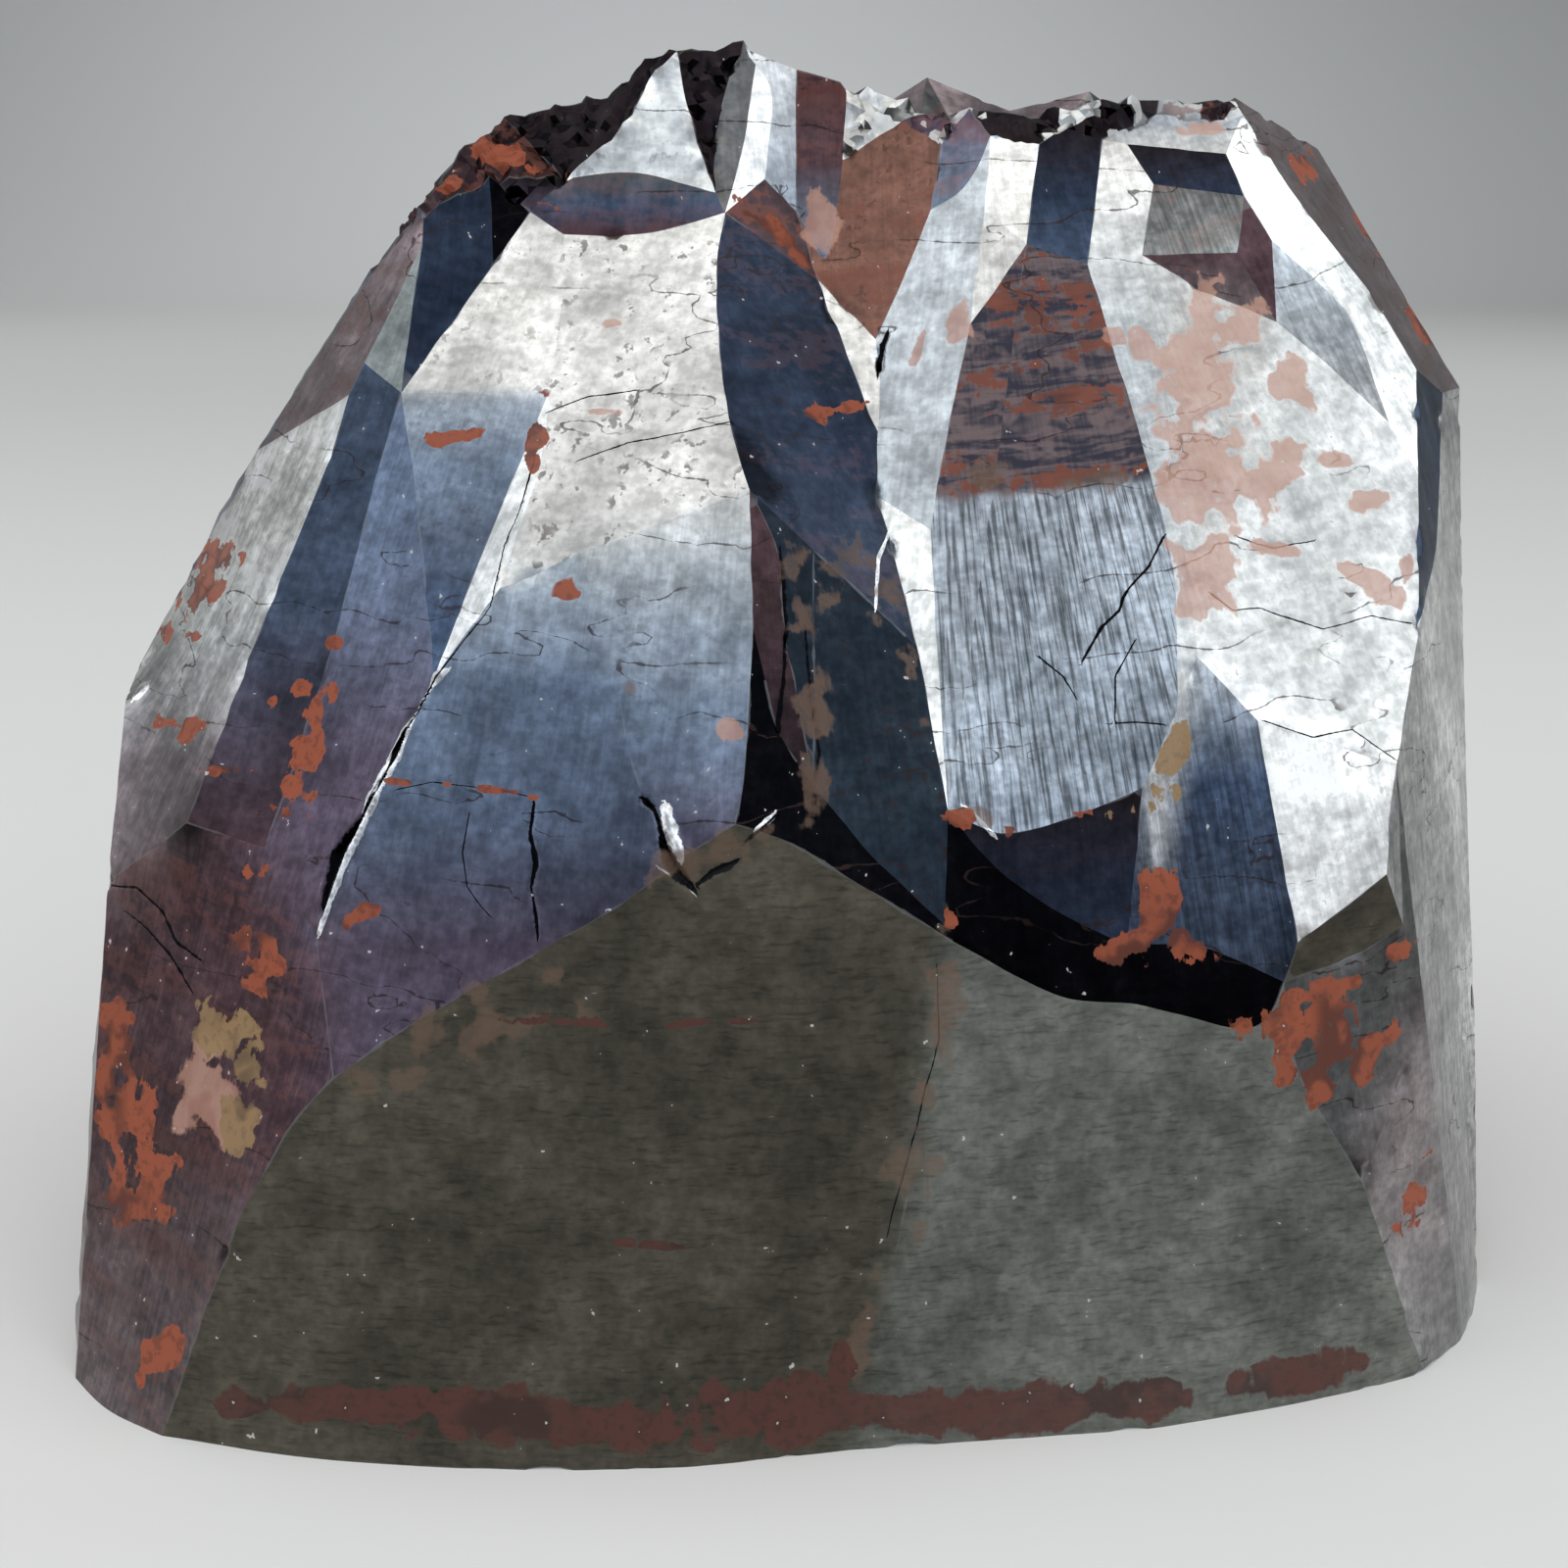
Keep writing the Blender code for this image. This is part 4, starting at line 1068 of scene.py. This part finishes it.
def inside_line(tree, at, share, near, rim):
    """Where an open crack or a flake is, ragged at its rim."""
    inside = plus(tree, maths(tree, "ABSOLUTE", share), times(tree, at.ragged, 1.6))
    return times(tree, ramped(tree, inside, 0.85, rim, 1.0, 0.0), ramped(tree, near, 0.4, 0.6))


def marked_colour(tree, at, colour):
    """Fine cracks, pits, painted highlights along the edges, flakes, and painted shade inside the open
    cracks.
    """
    cracked = plus(tree, maths(tree, "ABSOLUTE", at.hair),
                   times(tree, maths(tree, "SUBTRACT", at.fine, 0.45), 0.12))
    cracked = times(tree, ramped(tree, cracked, 0.018, 0.045, 1.0, 0.0),
                    ramped(tree, at.blotch, 0.34, 0.52))
    leaves = noisy(tree, vector_maths(tree, "MULTIPLY", at.place, PIT_SCALE), 1.0, 2.0, 0.65)
    pits = times(tree, ramped(tree, leaves, 0.56, 0.63), at.pitted)
    pits = times(tree, pits, ramped(tree, at.patch, 0.45, 0.7))
    dark_marks = maths(tree, "MAXIMUM", times(tree, cracked, 0.75), times(tree, pits, 0.65))
    colour = blended(tree, times(tree, dark_marks, at.even), colour, DARK_MARK)
    # Painted highlight: a thin line along the facet edges
    edge_highlight = ramped(tree, plus(tree, at.edge, times(tree, at.patch, 0.16)), 0.08, 0.13, 0.22, 0.0)
    colour = blended(tree, edge_highlight, colour, EDGE_HIGHLIGHT)
    in_flake = inside_line(tree, at, at.flake, at.flake_near, 1.1)
    colour = blended(tree, in_flake, colour, ramped(tree, at.fine, 0.35, 0.6, 0.45, 1.0))
    # Painted shade inside the open cracks
    in_crack = inside_line(tree, at, at.crack, at.crack_near, 1.2)
    return blended(tree, in_crack, colour, CRACK_SHADE)


def stained_colour(tree, at, colour):
    """Dull stains, ragged at the rim, and specks of dust; also returns where they are."""
    rag = plus(tree, times(tree, at.patch, 1.2), times(tree, at.fibres, 0.25))
    rag = plus(tree, rag, times(tree, at.fine, 0.5))
    rag = maths(tree, "SUBTRACT", rag, 0.975)
    dull = times(tree, ramped(tree, at.fine, 0.73, 0.76), 0.8)
    dust = dull
    for name, (light, dark, cover, frayed, rim) in STAIN_LOOKS.items():
        strength = getattr(at, name)
        depth = plus(tree, strength, times(tree, rag, frayed))
        there = times(tree, ramped(tree, depth, 0.52, 0.52 + rim, 0.0, cover),
                      ramped(tree, strength, 0.05, 0.2))
        shade = blended(tree, ramped(tree, at.blotch, 0.38, 0.62), light, dark)
        shade = blended(tree, ramped(tree, at.patch, 0.45, 0.65, 0.0, 0.8), shade, light)
        shade = blended(tree, ramped(tree, at.fine, 0.5, 0.65, 0.0, 0.55), shade, dark)
        colour = blended(tree, there, colour, shade)
        dull = maths(tree, "MAXIMUM", dull, there)
    return blended(tree, dust, colour, DUST), dull


def hematite_material(fan_radius):
    """Lustrous fibrous metal with growth bands, fine cracks, pits, dust and stains, with painted
    highlights along edges, painted glints on the crest and painted shade in open cracks.
    """
    material = bpy.data.materials.new("hematite")
    material.use_nodes = True
    tree = material.node_tree
    shader = tree.nodes["Principled BSDF"]
    at = surface_inputs(tree)
    colour = metal_colour(tree, at)
    colour, above = fan_colour(tree, at, colour, fan_radius)
    colour, rings = banded_colour(tree, at, colour, above)
    colour = marked_colour(tree, at, colour)
    colour, dull = stained_colour(tree, at, colour)
    lustre = times(tree, at.metal, maths(tree, "SUBTRACT", 1.0, dull))
    rough = plus(tree, at.gloss, times(tree, at.blotch, 0.06))
    for dulled in (times(tree, dull, 0.75), times(tree, rings, 0.45)):
        rough = maths(tree, "MAXIMUM", rough, dulled)
    height = plus(tree, times(tree, at.fibres, at.fibrous), times(tree, at.fine, 0.25))
    height = plus(tree, height, times(tree, at.layers, 0.8))
    bump = add_node(tree, "ShaderNodeBump", {"Strength": 1.0, "Distance": BUMP_DEPTH,
                                             "Height": height})
    tree.links.new(colour, shader.inputs["Base Color"])
    tree.links.new(lustre, shader.inputs["Metallic"])
    tree.links.new(rough, shader.inputs["Roughness"])
    tree.links.new(bump.outputs["Normal"], shader.inputs["Normal"])
    shader.inputs["Specular IOR Level"].default_value = 0.3
    return material


# The stage

def add_world():
    """Bright above, dim at the level of the table, with soft light aside and a window in front."""
    world = bpy.data.worlds.new("soft sky")
    bpy.context.scene.world = world
    world.use_nodes = True
    tree = world.node_tree
    background = tree.nodes["Background"]
    place = add_node(tree, "ShaderNodeTexCoord").outputs["Generated"]
    split = add_node(tree, "ShaderNodeSeparateXYZ", {0: place})
    ramp = add_node(tree, "ShaderNodeValToRGB", {0: split.outputs["Z"]})
    stops = ramp.color_ramp.elements
    stops[0].color = (0.30, 0.32, 0.36, 1.0)
    stops[1].position = 0.84
    for position, colour in ((0.35, (0.42, 0.46, 0.52)), (0.55, (0.62, 0.68, 0.76)),
                             (0.7, (0.9, 0.95, 0.98))):
        stop = stops.new(position)
        stop.color = (*colour, 1.0)
    aside = ramped(tree, maths(tree, "ABSOLUTE", split.outputs["X"]), 0.42, 0.85, 0.0, 0.4)
    sky = blended(tree, 1.0, ramp.outputs["Color"], aside, "ADD")
    toward = add_node(tree, "ShaderNodeVectorMath", {0: place, 1: (0.56, -0.76, 0.33)},
                      operation="DOT_PRODUCT").outputs["Value"]
    window = ramped(tree, toward, 0.93, 0.99, 0.0, 0.3)
    sky = blended(tree, 1.0, sky, window, "ADD")
    tree.links.new(sky, background.inputs["Color"])
    background.inputs["Strength"].default_value = 1.2


def plain_material(name, colour, rough):
    material = bpy.data.materials.new(name)
    material.use_nodes = True
    shader = material.node_tree.nodes["Principled BSDF"]
    shader.inputs["Base Color"].default_value = (*colour, 1.0)
    shader.inputs["Roughness"].default_value = rough
    return material


def backdrop_material():
    """Pale floor, darker towards the back, that turns grey where it sweeps up; painted shade makes the
    wall darker to the sides.
    """
    material = plain_material("pale floor", (0.8, 0.79, 0.76), 0.9)
    tree = material.node_tree
    place = add_node(tree, "ShaderNodeTexCoord").outputs["Object"]
    split = add_node(tree, "ShaderNodeSeparateXYZ", {0: place})
    tilted = maths(tree, "ADD", split.outputs["Y"], maths(tree, "MULTIPLY", split.outputs["X"], 0.14))
    far = ramped(tree, tilted, 0.28, 0.47)
    floor = blended(tree, ramped(tree, tilted, -0.02, 0.30), (0.82, 0.81, 0.78), (0.60, 0.595, 0.575))
    # Painted shade: the wall darker to either side
    aside = maths(tree, "ABSOLUTE", maths(tree, "ADD", split.outputs["X"], 0.03))
    wall = blended(tree, ramped(tree, aside, 0.0, 0.28), (0.60, 0.595, 0.58), (0.33, 0.33, 0.32))
    colour = blended(tree, far, floor, wall)
    tree.links.new(colour, tree.nodes["Principled BSDF"].inputs["Base Color"])
    return material


def add_backdrop():
    """Floor that sweeps up into a wall far behind."""
    floor_length = 0.42
    sweep = 0.10
    side = 1.2
    front = -0.6
    profile = [(front, 0.0), (floor_length, 0.0)]
    for step in range(1, 13):
        angle = math.radians(90.0 * step / 12)
        profile.append((floor_length + sweep * math.sin(angle), sweep * (1 - math.cos(angle))))
    profile.append((floor_length + sweep, 1.2))
    points = [(x, y, z) for x in (-side, side) for y, z in profile]
    length = len(profile)
    faces = [(i, length + i, length + i + 1, i + 1) for i in range(length - 1)]
    mesh = bpy.data.meshes.new("backdrop")
    mesh.from_pydata(points, [], faces)
    for polygon in mesh.polygons:
        polygon.use_smooth = True
    backdrop = bpy.data.objects.new("backdrop", mesh)
    bpy.context.scene.collection.objects.link(backdrop)
    mesh.materials.append(backdrop_material())


def add_shade_card():
    """Painted shade: a dark sheet over the table in front of the fragment, only seen in its facets."""
    mesh = bpy.data.meshes.new("card")
    near = SOLID_LOW.y - 1.0 * MM
    far = near - 0.3
    mesh.from_pydata([(-0.2, far, 0.0004), (0.09, far, 0.0004), (0.09, near, 0.0004),
                      (-0.2, near, 0.0004)], [], [(0, 1, 2, 3)])
    card = bpy.data.objects.new("card", mesh)
    bpy.context.scene.collection.objects.link(card)
    mesh.materials.append(plain_material("shade card", (0.05, 0.05, 0.05), 0.9))
    card.visible_camera = False
    card.visible_diffuse = False
    card.visible_shadow = False


def fan_line_radius():
    """Distance from the growth centre to the line of growth across the fan."""
    hit = SOLID.ray_cast(SOLID.matrix_world.inverted() @ EYE, sight_line(*FAN_LINE))
    return (SOLID.matrix_world @ hit[1] - GROWTH_CENTRE).length


add_camera()
add_world()
add_backdrop()
add_shade_card()
fragment = bpy.data.objects.new("needle_ore_dressed", build_fragment())
bpy.context.scene.collection.objects.link(fragment)
fragment.data.materials.append(hematite_material(fan_line_radius()))
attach(fragment, "root")
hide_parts("needle_ore")
bpy.context.scene.view_settings.view_transform = "Standard"
